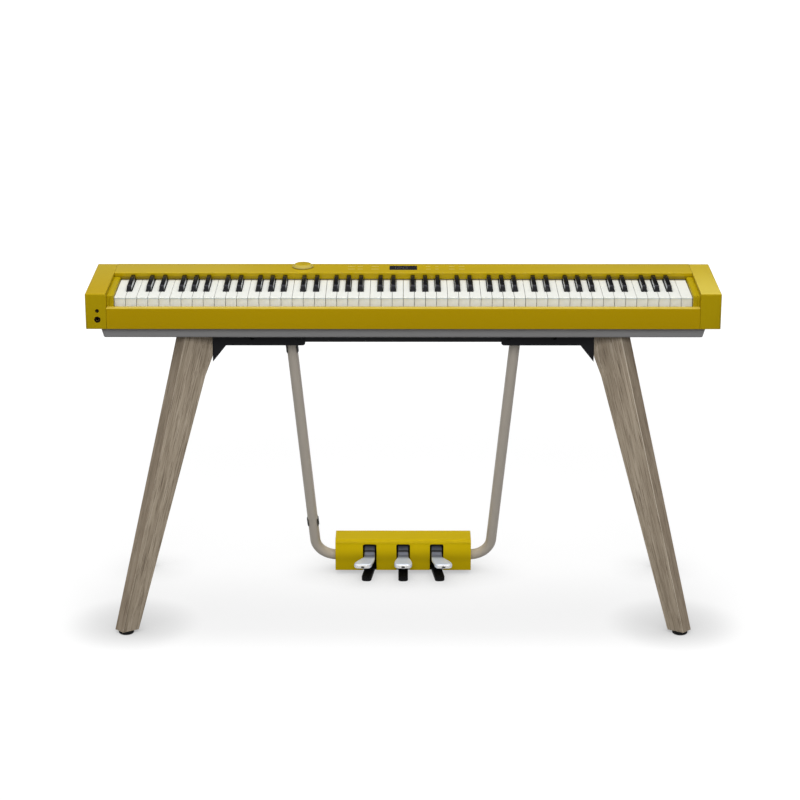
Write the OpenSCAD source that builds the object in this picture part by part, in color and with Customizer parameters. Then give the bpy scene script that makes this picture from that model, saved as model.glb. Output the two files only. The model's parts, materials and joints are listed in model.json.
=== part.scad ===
// Slim digital piano on a four-legged stand with a three-pedal unit.
// Millimetres. +Z is up and the floor is z = 0. The origin lies on the floor under the
// middle of the instrument. The player sits on the -Y side, with the bass end at -X.

/* [Instrument] */
// Depth of the instrument, front to back
body_d = 242; // [238:1:262]
// Height of the top panel above the floor
body_top = 740; // [700:5:790]
// Height of the end blocks
block_h = 77.8; // [74:0.2:84]
// Width of each end block
block_w = 44; // [42:0.5:47]
// Width of the cheek between each end block and the keys
cheek_w = 15; // [11:0.5:22]
// Rounding of the end blocks' top and outer edges
block_r = 4; // [2:0.5:6]
// Wall of the moulded covers
wall = 3; // [2.6:0.1:3.4]
// Depth of the top panel behind the keys
panel_d = 75.5; // [72:0.5:82]
// Gap at the seams between the covers
seam = 0.4; // [0.2:0.1:0.8]
// Depth of the front rail's top lip
rail_lip = 15; // [13:0.5:15.5]
// Depth of the step between the lip and the keys
rail_step = 8; // [5:0.5:9]
// Height of the front rail
rail_h = 45.8; // [42:0.2:48]
// How far the cheeks beside the keys lie below the end blocks
cheek_drop = 9.5; // [7:0.5:12]

/* [Bottom case] */
// Height of the bottom case
case_h = 24; // [22:0.2:30]
// How far its top edge lies inside the end blocks' sides
case_inset_x = 30.6; // [28:0.2:36]
// How far its top edge lies behind the front rail
case_inset_y = 12; // [11:0.5:14]
// How much each side leans in towards the floor
case_lean = 5.6; // [2:0.2:8]
// Rounding of its lower edge
case_r = 5.5; // [4:0.5:8]
// Height of the ribs that carry the key frame
rib_h = 7; // [5:0.5:9]

/* [Keyboard] */
// Width of a natural key with its gap
key_pitch = 23.5; // [23.3:0.05:23.7]
// Gap between neighbouring keys
key_gap = 1; // [0.8:0.1:1.2]
// Width left between naturals for a sharp
sharp_slot = 12.6; // [12:0.1:13]
// Width of a sharp at its foot
sharp_w = 10.6; // [10:0.1:10.8]
// Height of a sharp above the naturals
sharp_h = 11.5; // [10:0.5:12]
// How far the naturals' tops lie below the top panel
key_drop = 15.4; // [14:0.1:17]
// How far the naturals' fronts lie behind the front rail
key_setback = 25.5; // [23:0.5:28]
// Length of a natural in front of the sharps
head_len = 44; // [42:1:50]
// Depth of a natural's side below its top
key_h = 16; // [14:0.5:17]
// Extra depth of the natural's front skirt
skirt_h = 4; // [3:0.5:5]
// Travel of a natural at its front edge
key_travel = 10; // [9:0.2:10.4]
// Diameter of the rod on which every key turns
pivot_d = 4; // [3.6:0.1:5]
// Distance of that rod from the rear of the instrument
pivot_inset = 17; // [16:0.5:19]
// Width of the lug with which a key holds the rod
lug_w = 8; // [6:0.5:9]

/* [Controls] */
// Width of the display window
display_w = 60; // [50:1:90]
// Depth of the display window
display_d = 35; // [26:1:36]
// Diameter of the volume dial
dial_d = 46; // [40:0.5:52]
// How far the dial's sloping rim reaches in from its edge
dial_bevel = 6.6; // [4:0.2:9]
// Height of the volume dial above the panel
dial_h = 8; // [6:0.5:9]
// Distance of the dial left of the middle
dial_x = 219; // [180:1:225]

/* [Stand] */
// How far the feet lie inside the instrument's ends
foot_inset = 46.6; // [20:0.2:70]
// Depth of the stand over its feet
foot_span_y = 427; // [420:1:470]
// Width of a leg at its top
leg_top_w = 75; // [60:1:80]
// Width of a leg at its foot
leg_foot_w = 51; // [44:1:56]
// Depth of a leg at its top
leg_top_d = 50; // [44:1:54]
// Depth of a leg at its foot
leg_foot_d = 38; // [34:1:42]
// Distance of the legs' inner faces from the instrument's ends, at the top
leg_inset = 262; // [250:1:275]
// Distance of the leg's front ridge from the middle, at the top
leg_top_y = 87; // [80:1:100]
// Diameter of the glides under the legs
glide_d = 33; // [28:1:36]
// Height of the glides
glide_h = 6; // [4:0.5:8]
// Thickness of the steel brackets
steel = 2.5; // [2:0.5:3]
// Distance between the outsides of a bracket's two flanges
bracket_d = 128; // [120:1:136]
// Height of the brackets
bracket_h = 29.3; // [24:0.1:34]
// Height of the cross beam between the brackets
beam_h = 19.6; // [16:0.2:24]

/* [Pedals] */
// Width of the pedal box
box_w = 310; // [300:2:330]
// Depth of the pedal box
box_d = 65; // [62:1:75]
// Height of the pedal box, without its feet
box_h = 73; // [70:1:80]
// Gap between the pedal box and the floor
box_lift = 10; // [8:1:14]
// Distance of the pedal box's front behind the middle
box_front = 134; // [128:1:146]
// Rounding of the box's front top edge
box_r = 9; // [6:1:12]
// Distance between neighbouring pedals
pedal_pitch = 76.5; // [72:0.5:84]
// Width of the slots for the pedals
slot_w = 31; // [29:0.5:40]
// Width of a pedal's neck
neck_w = 24; // [22:0.5:27]
// Width of a pedal at its widest
paddle_w = 40; // [36:1:48]
// How far the pedals stand out of the box
pedal_reach = 69; // [60:1:76]
// Travel of a pedal at its tip
pedal_travel = 12; // [8:0.5:13]
// Outward sweep of the two side pedals at their tips
pedal_flare = 15; // [8:1:18]
// Diameter of the shaft that carries the pedals
shaft_d = 8; // [6:0.5:9]
// Diameter of the pedal unit's two tubes
tube_d = 23.5; // [18:0.5:25]
// Wall of the tubes
tube_wall = 1.6; // [1.2:0.1:2.5]
// Bend radius of the tubes
tube_bend = 49.5; // [46:0.5:60]
// Outward splay of the tubes, in degrees
tube_splay = 4.05; // [3:0.05:4.6]
// Backward lean of the tubes, in degrees
tube_lean = 18.7; // [17.5:0.1:19.5]

/* [Hidden] */
$fn = 48;
NATURALS = 52;
keys_w = NATURALS * key_pitch;
body_w = keys_w + 2 * (cheek_w + block_w);
half_w = body_w / 2;
half_d = body_d / 2;
block_base = body_top - block_h;
case_base = block_base - case_h;
block_in = half_w - block_w;
panel_front = half_d - panel_d;
running = 0.05;
past = 1;

// Keyboard: 52 naturals from A0 to C8, counted by k from 0
KEYS_BEFORE_MIDDLE = 23;
key_top = body_top - key_drop;
key_front = key_setback - half_d;
pivot_y = half_d - pivot_inset;
key_under = key_top - key_h;
pivot_z = key_under - 1;
lug_r = pivot_d / 2 + 3;
key_back = pivot_y + lug_r;
tongue_y = pivot_y - lug_r - 7;
key_wall = 2;
key_edge = 0.6;
lip_h = 3;
lip_d = 0.8;
skirt_l = 12;
sharp_foot = key_front + head_len + key_gap;
sharp_back = panel_front - 2;
sharp_top_w = sharp_w - 1.4;
sharp_nose = 7;
sharp_edge = 0.8;

// Height of the key frame's base plate
frame_z = case_base + wall + rib_h;
frame_t = 2;
support_t = 3;
felt_h = 4;
felt_d = 20;

// Screws that join the instrument, the stand and the pedal unit
leg_in_x = half_w - leg_inset;
foot_span_x = body_w - 2 * foot_inset;
bracket_screw_x = leg_in_x - 85;
mount_screw_y = bracket_d / 2 - 24;
m6_r = 3;
m6_head_r = 6;
m6_head_h = 4;
case_screw_x = [90, 290, 450, 560];
case_screw_y = 78;
m3_r = 1.5;
m3_head_r = 3.4;
m3_head_h = 2;

// Pedal unit
box_top = box_lift + box_h;
box_rear = box_front + box_d;
cover_t = 2.5;
base_t = 3;
shaft_y = box_rear - 16;
shaft_z = box_lift + 46;
tube_z = box_lift + 25;
tube_y = box_front + 35;
tube_top_z = case_base - 2 * steel;
tube_in = 20;
flange_screw_y = tube_d / 2 + 7;
// Centre of each tube's bend, just inside the box's side
bend_at = [box_w / 2 - 3, tube_y - tube_bend * sin(tube_lean), tube_z + tube_bend * cos(tube_lean)];
// Length of the straight stretch, from the bend up to the flange
tube_run = (tube_top_z - bend_at.z) / cos(tube_lean) / cos(tube_splay) + tube_bend * tan(tube_splay);
tube_top = tube_point(tube_bend, tube_run);
beam_end = tube_top.x - tube_d / 2 - 1;
beam_screw_x = beam_end - 9.5;
bracket_in = beam_screw_x - 11;

// Place in the model of a point in the tube's own plane
function tube_point(x, z) =
    let (
        out = x * cos(tube_splay) + z * sin(tube_splay),
        up = z * cos(tube_splay) - x * sin(tube_splay)
    )
    bend_at + [out, -up * sin(tube_lean), up * cos(tube_lean)];

// ---------- shared shapes ----------

// Extrudes a (Y, Z) outline along X, from x0 to x1
module along_x(x0, x1) {
    translate([x0, 0, 0]) rotate([90, 0, 90]) linear_extrude(x1 - x0) children();
}

// Extrudes an (X, Z) outline along Y, from y0 to y1
module along_y(y0, y1) {
    translate([0, y1, 0]) rotate([90, 0, 0]) linear_extrude(y1 - y0) children();
}

module along_z(z0, z1) {
    translate([0, 0, z0]) linear_extrude(z1 - z0) children();
}

// A box from its lowest to its highest corner
module block(lo, hi) {
    translate(lo) cube(hi - lo);
}

// A rectangle whose corners are round: r lists low left, low right, top right, top left
module soft_rect(lo, hi, r) {
    corners = [lo, [hi.x, lo.y], hi, [lo.x, hi.y]];
    inward = [[1, 1], [-1, 1], [-1, -1], [1, -1]];
    difference() {
        translate(lo) square(hi - lo);
        for (i = [0 : 3]) {
            if (r[i] > 0) {
                centre = corners[i] + inward[i] * r[i];
                outer = corners[i] - inward[i];
                difference() {
                    translate([min(centre.x, outer.x), min(centre.y, outer.y)])
                        square(r[i] + 1);
                    translate(centre) circle(r[i]);
                }
            }
        }
    }
}

// A cylinder along X or Y that starts at a point
module rod_x(at, r, length) {
    translate(at) rotate([0, 90, 0]) cylinder(h = length, r = r);
}

module rod_y(at, r, length) {
    translate(at) rotate([-90, 0, 0]) cylinder(h = length, r = r);
}

// The right-hand piece is drawn, and the left-hand one is its mirror image
module on_side(side) {
    if (side > 0) {
        children();
    } else {
        mirror([1, 0, 0]) children();
    }
}

function arc(centre, r, from, to, steps) = [
    for (i = [0 : steps])
        let (a = from + (to - from) * i / steps)
        centre + r * [cos(a), sin(a)]
];

// ---------- instrument: covers ----------

// Outline of a tray: wider at its top, with a round lower edge
function tray_outline(half_top, z0, z1, r) =
    let (
        lean = atan(case_lean / case_h),
        half_low = half_top - (z1 - z0) * tan(lean),
        x = half_low - r * (1 - sin(lean)) / cos(lean)
    )
    concat(
        arc([x, z0 + r], r, -90, -lean, 6),
        [[half_top, z1], [-half_top, z1]],
        arc([-x, z0 + r], r, 180 + lean, 270, 6)
    );

module tray_solid(inset, z0, z1, r) {
    half_x = half_w - case_inset_x - inset;
    half_y = half_d - case_inset_y - inset;
    intersection() {
        along_y(-half_d, half_d) polygon(tray_outline(half_x, z0, z1, r));
        along_x(-half_w, half_w) polygon(tray_outline(half_y, z0, z1, r));
    }
}

module at_mount_screws() {
    for (sx = [-1, 1], sy = [-1, 1], x = [beam_screw_x, bracket_screw_x]) {
        translate([sx * x, sy * mount_screw_y, 0]) children();
    }
}

module at_case_screws() {
    for (sx = [-1, 1], sy = [-1, 1], x = case_screw_x) {
        translate([sx * x, sy * case_screw_y, 0]) children();
    }
}

module bottom_case() {
    floor_z = case_base + wall;
    rib_pitch = 100;
    rib_y = half_d - case_inset_y - case_lean - 2 * wall;
    color("dimgray") difference() {
        union() {
            difference() {
                tray_solid(0, case_base, block_base, case_r);
                tray_solid(wall, floor_z, block_base + past, case_r - wall);
            }
            for (i = [-6 : 6]) {
                x = i * rib_pitch;
                if (abs(x) < half_w - case_inset_x - 2 * wall) {
                    block([x - 1.25, -rib_y, floor_z - past], [x + 1.25, rib_y, frame_z]);
                }
            }
            at_case_screws() along_z(floor_z - past, frame_z) circle(5);
            at_mount_screws() along_z(floor_z - past, frame_z) circle(8);
        }
        at_case_screws() {
            along_z(case_base - past, frame_z + past) circle(m3_r + 0.1);
            along_z(case_base - past, case_base + m3_head_h + 0.2) circle(m3_head_r + 0.3);
        }
        at_mount_screws() along_z(case_base - past, frame_z - 2) circle(m6_r);
    }
}

module end_block(side) {
    inner = block_in;
    headphones = side < 0;
    color("darkgoldenrod") on_side(side) difference() {
        union() {
            difference() {
                intersection() {
                    along_y(-half_d, half_d)
                        soft_rect([inner, block_base], [half_w, body_top], [0, 1, block_r, 1]);
                    along_x(inner, half_w)
                        soft_rect([-half_d, block_base], [half_d, body_top], [1, 1, block_r, block_r]);
                    along_z(block_base, body_top)
                        soft_rect([inner, -half_d], [half_w, half_d], [1, block_r, block_r, 0]);
                }
                block([inner + wall, -half_d + wall, block_base + wall],
                      [half_w - wall, half_d - wall, body_top - wall]);
                block([inner - past, panel_front + wall, block_base + wall],
                      [inner + wall + past, half_d - wall, body_top - wall]);
            }
            // Ledge on which the top panel's end rests
            block([inner - 6, panel_front + wall, body_top - wall - 6],
                  [inner + wall, half_d - wall, body_top - wall]);
        }
        if (headphones) {
            for (socket = HEADPHONES) {
                rod_y([half_w - HEADPHONE_INSET, -half_d - past, socket[0]], socket[1], wall + 2 * past);
            }
        }
    }
}

module key_cheek(side) {
    top = body_top - cheek_drop;
    inner = keys_w / 2 + 0.6;
    front = -half_d + rail_lip;
    groove = 2.2;
    color("goldenrod") on_side(side) difference() {
        intersection() {
            along_y(front, panel_front - seam)
                soft_rect([inner, block_base + wall], [block_in, top], [0, 0, 0, 3]);
            along_z(block_base + wall, top)
                soft_rect([inner, front], [block_in, panel_front - seam], [2, 1, 0, 0]);
        }
        // Upright flute down the cheek's nose
        along_z(rail_top() + 1, top + past)
            translate([block_in - 2 * groove, front - groove / 3]) circle(groove);
    }
}

function rail_top() = block_base + rail_h;

module front_rail() {
    half = block_in - seam;
    case_edge = -half_d + case_inset_y + wall;
    lip_end = -half_d + rail_lip;
    step_top = rail_top() - 6;
    step_t = 2;
    color("darkgoldenrod") union() {
        along_x(-half, half) difference() {
            soft_rect([-half_d, block_base], [lip_end, rail_top()], [1, 0, 1, 2]);
            translate([-half_d + wall, block_base + wall])
                square([rail_lip, rail_h - 2 * wall]);
            translate([case_edge, block_base - past])
                square([rail_lip, wall + 2 * past]);
        }
        // Step that closes the gap in front of the keys
        along_x(-keys_w / 2, keys_w / 2) polygon([
            [lip_end - step_t, rail_top() - wall + past],
            [lip_end - step_t, step_top - step_t],
            [lip_end + rail_step, step_top - step_t],
            [lip_end + rail_step, step_top],
            [lip_end, step_top],
            [lip_end, rail_top() - wall + past]
        ]);
    }
}

module top_panel() {
    half = block_in - seam;
    skirt = key_drop - 1.2;
    display_y = display_centre_y();
    color("goldenrod") difference() {
        along_x(-half, half) difference() {
            soft_rect([panel_front, body_top - skirt], [half_d, body_top], [0.8, 0, 2, 1.5]);
            translate([panel_front + wall - 0.5, body_top - skirt - past])
                square([panel_d + past, skirt + past - wall]);
        }
        // Seat of the display and the opening behind it
        block([-display_w / 2, display_y - display_d / 2, body_top - 1.6],
              [display_w / 2, display_y + display_d / 2, body_top + past]);
        block([-display_w / 2 + 3, display_y - display_d / 2 + 3, body_top - wall - past],
              [display_w / 2 - 3, display_y + display_d / 2 - 3, body_top]);
        translate([-dial_x, dial_y(), 0])
            along_z(body_top - wall - past, body_top + past) circle(STEM_R + 1);
    }
}

function display_centre_y() = panel_front + panel_d * 0.55;
function dial_y() = panel_front + panel_d * 0.62;

module rear_cover() {
    half = block_in - seam;
    top = body_top - wall;
    color("goldenrod") difference() {
        union() {
            along_x(-half, half) difference() {
                soft_rect([half_d - case_inset_y - wall, block_base], [half_d, top], [0, 1, 0, 0]);
                translate([half_d - case_inset_y - wall - past, block_base + wall])
                    square([case_inset_y + past, block_h]);
                translate([half_d - case_inset_y - wall - past, block_base - past])
                    square([past, wall + 2 * past]);
            }
            // Pocket that holds the rear sockets
            block([POCKET_X - POCKET_W / 2 - 2, half_d - POCKET_DEEP - 2, POCKET_Z - POCKET_H / 2 - 2],
                  [POCKET_X + POCKET_W / 2 + 2, half_d - past, POCKET_Z + POCKET_H / 2 + 2]);
        }
        block([POCKET_X - POCKET_W / 2, half_d - POCKET_DEEP, POCKET_Z - POCKET_H / 2],
              [POCKET_X + POCKET_W / 2, half_d + past, POCKET_Z + POCKET_H / 2]);
        for (s = REAR_JACKS) {
            rod_y([POCKET_X + s[0], half_d - POCKET_DEEP - 2 - past, POCKET_Z], BUSH_R, 2 + 2 * past);
        }
        for (port = REAR_PORTS) {
            block([POCKET_X + port[0] - port[1] / 2, half_d - POCKET_DEEP - 2 - past, POCKET_Z - port[2] / 2],
                  [POCKET_X + port[0] + port[1] / 2, half_d - POCKET_DEEP + past, POCKET_Z + port[2] / 2]);
        }
        for (sx = [-1, 1]) {
            along_y(half_d - wall - past, half_d + past)
                soft_rect([sx * SPEAKER_X - GRILLE_W / 2, SPEAKER_Z - GRILLE_H / 2],
                          [sx * SPEAKER_X + GRILLE_W / 2, SPEAKER_Z + GRILLE_H / 2], [6, 6, 6, 6]);
        }
    }
}

// ---------- instrument: sockets, sound and electronics ----------

// Height of each headphone socket, radius of its dark face, radius and depth of its bore
HEADPHONES = [
    [block_base + 39.6, 4, 1.8, 15],
    [block_base + 20.6, 6.7, 3.25, 31]
];
HEADPHONE_INSET = 25;

POCKET_X = 176;
POCKET_W = 140;
POCKET_H = 26;
POCKET_DEEP = 10;
POCKET_Z = block_base + 21;
BUSH_R = 5;
JACK_R = 3.25;
INLET_R = 2.8;
INLET_PIN_R = 1;
// Places of the power inlet and the two line outputs, and the bore radius of each
REAR_JACKS = [[-54, INLET_R], [-33, JACK_R], [-12, JACK_R]];
// Place, width and height of each square port
REAR_PORTS = [[14, 12, 11], [42, 15, 8]];

SPEAKER_X = 329;
SPEAKER_Z = block_base + 21;
GRILLE_W = 120;
GRILLE_H = 32;
STEM_R = 3;

module headphone_sockets() {
    face = -half_d + 0.5;
    color("#141414") for (s = HEADPHONES) {
        at = [-half_w + HEADPHONE_INSET, face, s[0]];
        case_half = s[1] + 1.2;
        difference() {
            union() {
                rod_y(at, s[1], wall);
                block([at.x - case_half, -half_d + wall, s[0] - case_half],
                      [at.x + case_half, -half_d + s[3] + 4, s[0] + case_half]);
            }
            rod_y([at.x, face - past, s[0]], s[2], s[3] + past);
        }
    }
}

module rear_sockets() {
    face = half_d - POCKET_DEEP + 0.6;
    behind = half_d - POCKET_DEEP - 2;
    color("#1c1c1c") {
        for (jack = REAR_JACKS) {
            at = POCKET_X + jack[0];
            deep = jack[1] == INLET_R ? 9 : 20;
            difference() {
                union() {
                    rod_y([at, behind - past, POCKET_Z], BUSH_R, face - behind + past);
                    block([at - 8, behind - 24, POCKET_Z - 7], [at + 8, behind, POCKET_Z + 7]);
                }
                rod_y([at, face - deep, POCKET_Z], jack[1], deep + past);
            }
            if (jack[1] == INLET_R) {
                rod_y([at, face - deep - past, POCKET_Z], INLET_PIN_R, deep);
            }
        }
        for (port = REAR_PORTS) {
            at = POCKET_X + port[0];
            difference() {
                block([at - port[1] / 2, behind - 14, POCKET_Z - port[2] / 2],
                      [at + port[1] / 2, face, POCKET_Z + port[2] / 2]);
                block([at - port[1] / 2 + 1.3, face - 9, POCKET_Z - port[2] / 2 + 1.3],
                      [at + port[1] / 2 - 1.3, face + past, POCKET_Z + port[2] / 2 - 1.3]);
            }
        }
    }
}

module speaker_grilles() {
    bar = 3;
    slot = 3;
    color("darkgoldenrod") for (sx = [-1, 1]) {
        along_y(half_d - wall, half_d - 0.6) difference() {
            soft_rect([sx * SPEAKER_X - GRILLE_W / 2, SPEAKER_Z - GRILLE_H / 2],
                      [sx * SPEAKER_X + GRILLE_W / 2, SPEAKER_Z + GRILLE_H / 2], [6, 6, 6, 6]);
            for (x = [-GRILLE_W / 2 + 8 : bar + slot : GRILLE_W / 2 - 10]) {
                translate([sx * SPEAKER_X + x, SPEAKER_Z - GRILLE_H / 2 + 4])
                    square([slot, GRILLE_H - 8]);
            }
        }
    }
}

module speakers() {
    face = half_d - wall;
    cone_h = GRILLE_H - 10;
    color("#202225") for (sx = [-1, 1]) {
        x = sx * SPEAKER_X;
        difference() {
            union() {
                along_y(face - 3, face)
                    soft_rect([x - 58, SPEAKER_Z - 15.5], [x + 58, SPEAKER_Z + 15.5], [9, 9, 9, 9]);
                along_y(face - 14, face - 3)
                    soft_rect([x - 48, SPEAKER_Z - cone_h / 2], [x + 48, SPEAKER_Z + cone_h / 2],
                              [8, 8, 8, 8]);
                rod_y([x, face - 23, SPEAKER_Z], 12, 9);
            }
            along_y(face - 10, face + past)
                soft_rect([x - 45, SPEAKER_Z - cone_h / 2 + 2], [x + 45, SPEAKER_Z + cone_h / 2 - 2],
                          [7, 7, 7, 7]);
        }
        translate([x, face - 10, SPEAKER_Z]) rotate([-90, 0, 0]) cylinder(h = 4, r = 7);
    }
}

module display_window() {
    y = display_centre_y();
    color("#0b0b0d") block([-display_w / 2 + 0.2, y - display_d / 2 + 0.2, body_top - 1.6],
                           [display_w / 2 - 0.2, y + display_d / 2 - 0.2, body_top - 0.1]);
}

module dial_knob() {
    skirt_r = dial_d / 2 - dial_bevel;
    color("goldenrod") translate([-dial_x, dial_y(), 0]) union() {
        rotate_extrude() polygon([
            [0, body_top + 0.5],
            [skirt_r, body_top + 0.5],
            [skirt_r, body_top + dial_h - 0.8],
            [skirt_r - 0.8, body_top + dial_h],
            [0, body_top + dial_h]
        ]);
        along_z(body_top - wall - 5, body_top + past) circle(STEM_R);
    }
}

module dial_rim() {
    r = dial_d / 2;
    skirt_r = r - dial_bevel;
    color("tan") translate([-dial_x, dial_y(), 0]) rotate_extrude() polygon([
        [skirt_r, body_top + 0.5],
        [r - 0.4, body_top + 0.5],
        [r, body_top + 0.9],
        [r, body_top + 2.6],
        [skirt_r + 0.8, body_top + dial_h - 0.4],
        [skirt_r, body_top + dial_h - 0.4]
    ]);
}

module dial_encoder() {
    top = body_top - wall;
    color("silver") translate([-dial_x, dial_y(), 0]) difference() {
        union() {
            block([-7, -7, top - 6], [7, 7, top]);
            along_z(top, body_top - 0.5) circle(STEM_R + 0.9);
        }
        along_z(top - 6 - past, body_top) circle(STEM_R + running);
    }
}

// Board of the touch icons, from beside the dial to the right of the display
TOUCH_LO = -180;
TOUCH_HI = 150;
BOARD_T = 1.6;
POST_R = 3;

module panel_board() {
    top = body_top - wall;
    gap = 2;
    y0 = panel_front + 14;
    y1 = half_d - case_inset_y + 2;
    inset = 10;
    color("darkgreen") {
        block([TOUCH_LO, y0, top - gap - BOARD_T], [TOUCH_HI, y1, top - gap]);
        for (x = [TOUCH_LO + inset, TOUCH_HI - inset], y = [y0 + inset, y1 - inset]) {
            translate([x, y, 0]) along_z(top - gap, top) circle(POST_R);
        }
    }
}

// Main board: its front left corner, its size and the posts that carry it
MAIN_AT = [110, -40];
MAIN_SIZE = [240, 102];
MAIN_LIFT = 6;

function main_posts() = [
    for (x = [POST_R, MAIN_SIZE.x - POST_R], y = [POST_R, MAIN_SIZE.y - POST_R])
        MAIN_AT + [x, y]
];

// A chip lies in the middle, and a heat sink and capacitors stand at the treble end
module main_board() {
    z = frame_z + frame_t + MAIN_LIFT;
    top = z + BOARD_T;
    size = MAIN_SIZE;
    color("seagreen") translate([MAIN_AT.x, MAIN_AT.y, 0]) {
        block([0, 0, z], [size.x, size.y, top]);
        block([size.x * 0.16, size.y * 0.2, top], [size.x * 0.28, size.y * 0.48, top + 2.4]);
        block([size.x * 0.42, size.y * 0.3, top], [size.x * 0.5, size.y * 0.68, top + 2]);
        block([size.x * 0.58, size.y * 0.06, top], [size.x * 0.96, size.y * 0.3, top + 12]);
        for (i = [0 : 3]) {
            translate([size.x * (0.67 + 0.09 * i), size.y * 0.6, 0]) along_z(top, top + 16) circle(6);
        }
    }
}

// ---------- instrument: keyboard ----------

// Place of a natural in its octave: 0 is C and 6 is B
function degree(k) = (k + 5) % 7;
function head_x(k) = (k - NATURALS / 2) * key_pitch;
// C to E is a group of three naturals, and F to B a group of four
function group_size(k) = degree(k) < 3 ? 3 : 4;
function in_group(k) = degree(k) < 3 ? degree(k) : degree(k) - 3;
function tail_w(k) = (group_size(k) * key_pitch - (group_size(k) - 1) * sharp_slot) / group_size(k);
function tail_start(k) = head_x(k - in_group(k)) + in_group(k) * (tail_w(k) + sharp_slot);
// The lowest key has no sharp on its left, and the highest has none at all
function tail_lo(k) = k == 0 ? head_x(0) : tail_start(k);
function tail_hi(k) = k == NATURALS - 1 ? head_x(NATURALS) : tail_start(k) + tail_w(k);
function has_sharp(k) = k < NATURALS - 1 && in_group(k) < group_size(k) - 1;
function sharp_x(k) = tail_hi(k) + sharp_slot / 2;

module key_lug_bore() {
    rod_x([-half_w, pivot_y, pivot_z], pivot_d / 2 + running, body_w);
}

module natural_key(k) {
    x0 = head_x(k) + key_gap / 2;
    x1 = head_x(k + 1) - key_gap / 2;
    t0 = tail_lo(k) + key_gap / 2;
    t1 = tail_hi(k) - key_gap / 2;
    mid = (t0 + t1) / 2;
    notch_y = key_front + head_len;
    low = key_top - key_h - skirt_h - lug_r;
    difference() {
        intersection() {
            along_z(low, key_top) {
                translate([x0, key_front]) square([x1 - x0, head_len]);
                translate([t0, key_front]) square([t1 - t0, tongue_y - key_front]);
                translate([mid - lug_w / 2, notch_y]) square([lug_w, key_back - notch_y]);
            }
            along_x(x0, x1) {
                polygon([
                    [key_front + lip_d, key_under - skirt_h],
                    [key_front + skirt_l, key_under - skirt_h],
                    [key_front + skirt_l, key_under],
                    [key_back, key_under],
                    [key_back, key_top],
                    [key_front + key_edge, key_top],
                    [key_front, key_top - key_edge],
                    [key_front, key_top - lip_h],
                    [key_front + lip_d, key_top - lip_h]
                ]);
                translate([pivot_y, pivot_z]) circle(lug_r);
            }
        }
        block([x0 + key_wall, key_front + lip_d + key_wall, low - past],
              [x1 - key_wall, notch_y - key_wall, key_top - key_wall]);
        block([t0 + key_wall, notch_y - 2 * key_wall, low - past],
              [t1 - key_wall, tongue_y - key_wall, key_top - key_wall]);
        key_lug_bore();
    }
}

module sharp_key(k) {
    x = sharp_x(k);
    half = sharp_w / 2;
    half_top = sharp_top_w / 2;
    cap_top = key_top + sharp_h;
    low = pivot_z - lug_r;
    difference() {
        intersection() {
            along_z(low, cap_top) {
                translate([x - half, sharp_foot]) square([sharp_w, tongue_y - sharp_foot]);
                translate([x - lug_w / 2, sharp_foot]) square([lug_w, key_back - sharp_foot]);
            }
            along_y(sharp_foot, key_back) polygon([
                [x - half, low],
                [x + half, low],
                [x + half, key_top],
                [x + half_top, cap_top - sharp_edge],
                [x + half_top - sharp_edge, cap_top],
                [x - half_top + sharp_edge, cap_top],
                [x - half_top, cap_top - sharp_edge],
                [x - half, key_top]
            ]);
            along_x(x - half, x + half) {
                polygon([
                    [sharp_foot, key_under],
                    [key_back, key_under],
                    [key_back, key_top - sharp_edge],
                    [sharp_back, key_top - sharp_edge],
                    [sharp_back, cap_top],
                    [sharp_foot + sharp_nose, cap_top],
                    [sharp_foot + sharp_nose - 2 * sharp_edge, cap_top - sharp_edge],
                    [sharp_foot, key_top + sharp_edge]
                ]);
                translate([pivot_y, pivot_z]) circle(lug_r);
            }
        }
        block([x - half + key_wall, sharp_foot + 3 * key_wall, low - past],
              [x + half - key_wall, tongue_y - key_wall, key_top - 3 * key_wall]);
        key_lug_bore();
    }
}

module naturals(from, to) {
    color("ivory") for (k = [from : to]) {
        natural_key(k);
    }
}

module sharps(from, to) {
    color("#17181a") for (k = [from : to]) {
        if (has_sharp(k)) {
            sharp_key(k);
        }
    }
}

// X places of the plates that carry the pivot rod: between B and C, and at both ends
function support_places() = concat(
    [head_x(0) + key_gap / 2 + support_t / 2],
    [for (k = [2 : 7 : NATURALS - 1]) head_x(k)],
    [head_x(NATURALS) - key_gap / 2 - support_t / 2]
);

function felt_base() = key_under - skirt_h - key_travel - 0.6 - felt_h;

module key_frame() {
    half = keys_w / 2;
    front = key_front - lip_d + 3;
    rear = case_screw_y + 14;
    hat_d = felt_d + 6;
    color("lightslategray") difference() {
        union() {
            block([-half, front, frame_z], [half, rear, frame_z + frame_t]);
            // Folded step under the keys' fronts, which carries the stop felt
            along_x(-half, half) difference() {
                translate([front, frame_z]) square([hat_d, felt_base() - frame_z]);
                translate([front + frame_t, frame_z - past])
                    square([hat_d - 2 * frame_t, felt_base() - frame_z - frame_t + past]);
            }
            for (x = support_places()) {
                along_x(x - support_t / 2, x + support_t / 2) {
                    polygon([
                        [pivot_y - 40, frame_z + frame_t - past],
                        [rear, frame_z + frame_t - past],
                        [pivot_y + lug_r, pivot_z - lug_r],
                        [pivot_y + lug_r, pivot_z],
                        [pivot_y - lug_r, pivot_z]
                    ]);
                    translate([pivot_y, pivot_z]) circle(lug_r);
                }
            }
            for (post = main_posts()) {
                translate([post.x, post.y, 0])
                    along_z(frame_z + frame_t - past, frame_z + frame_t + MAIN_LIFT) circle(POST_R);
            }
        }
        rod_x([-half_w, pivot_y, pivot_z], pivot_d / 2, body_w);
        at_case_screws() along_z(frame_z - past, frame_z + frame_t + past) circle(m3_r);
    }
}

module pivot_rod() {
    half = keys_w / 2 + 0.2;
    color("silver") rod_x([-half, pivot_y, pivot_z], pivot_d / 2, 2 * half);
}

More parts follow.
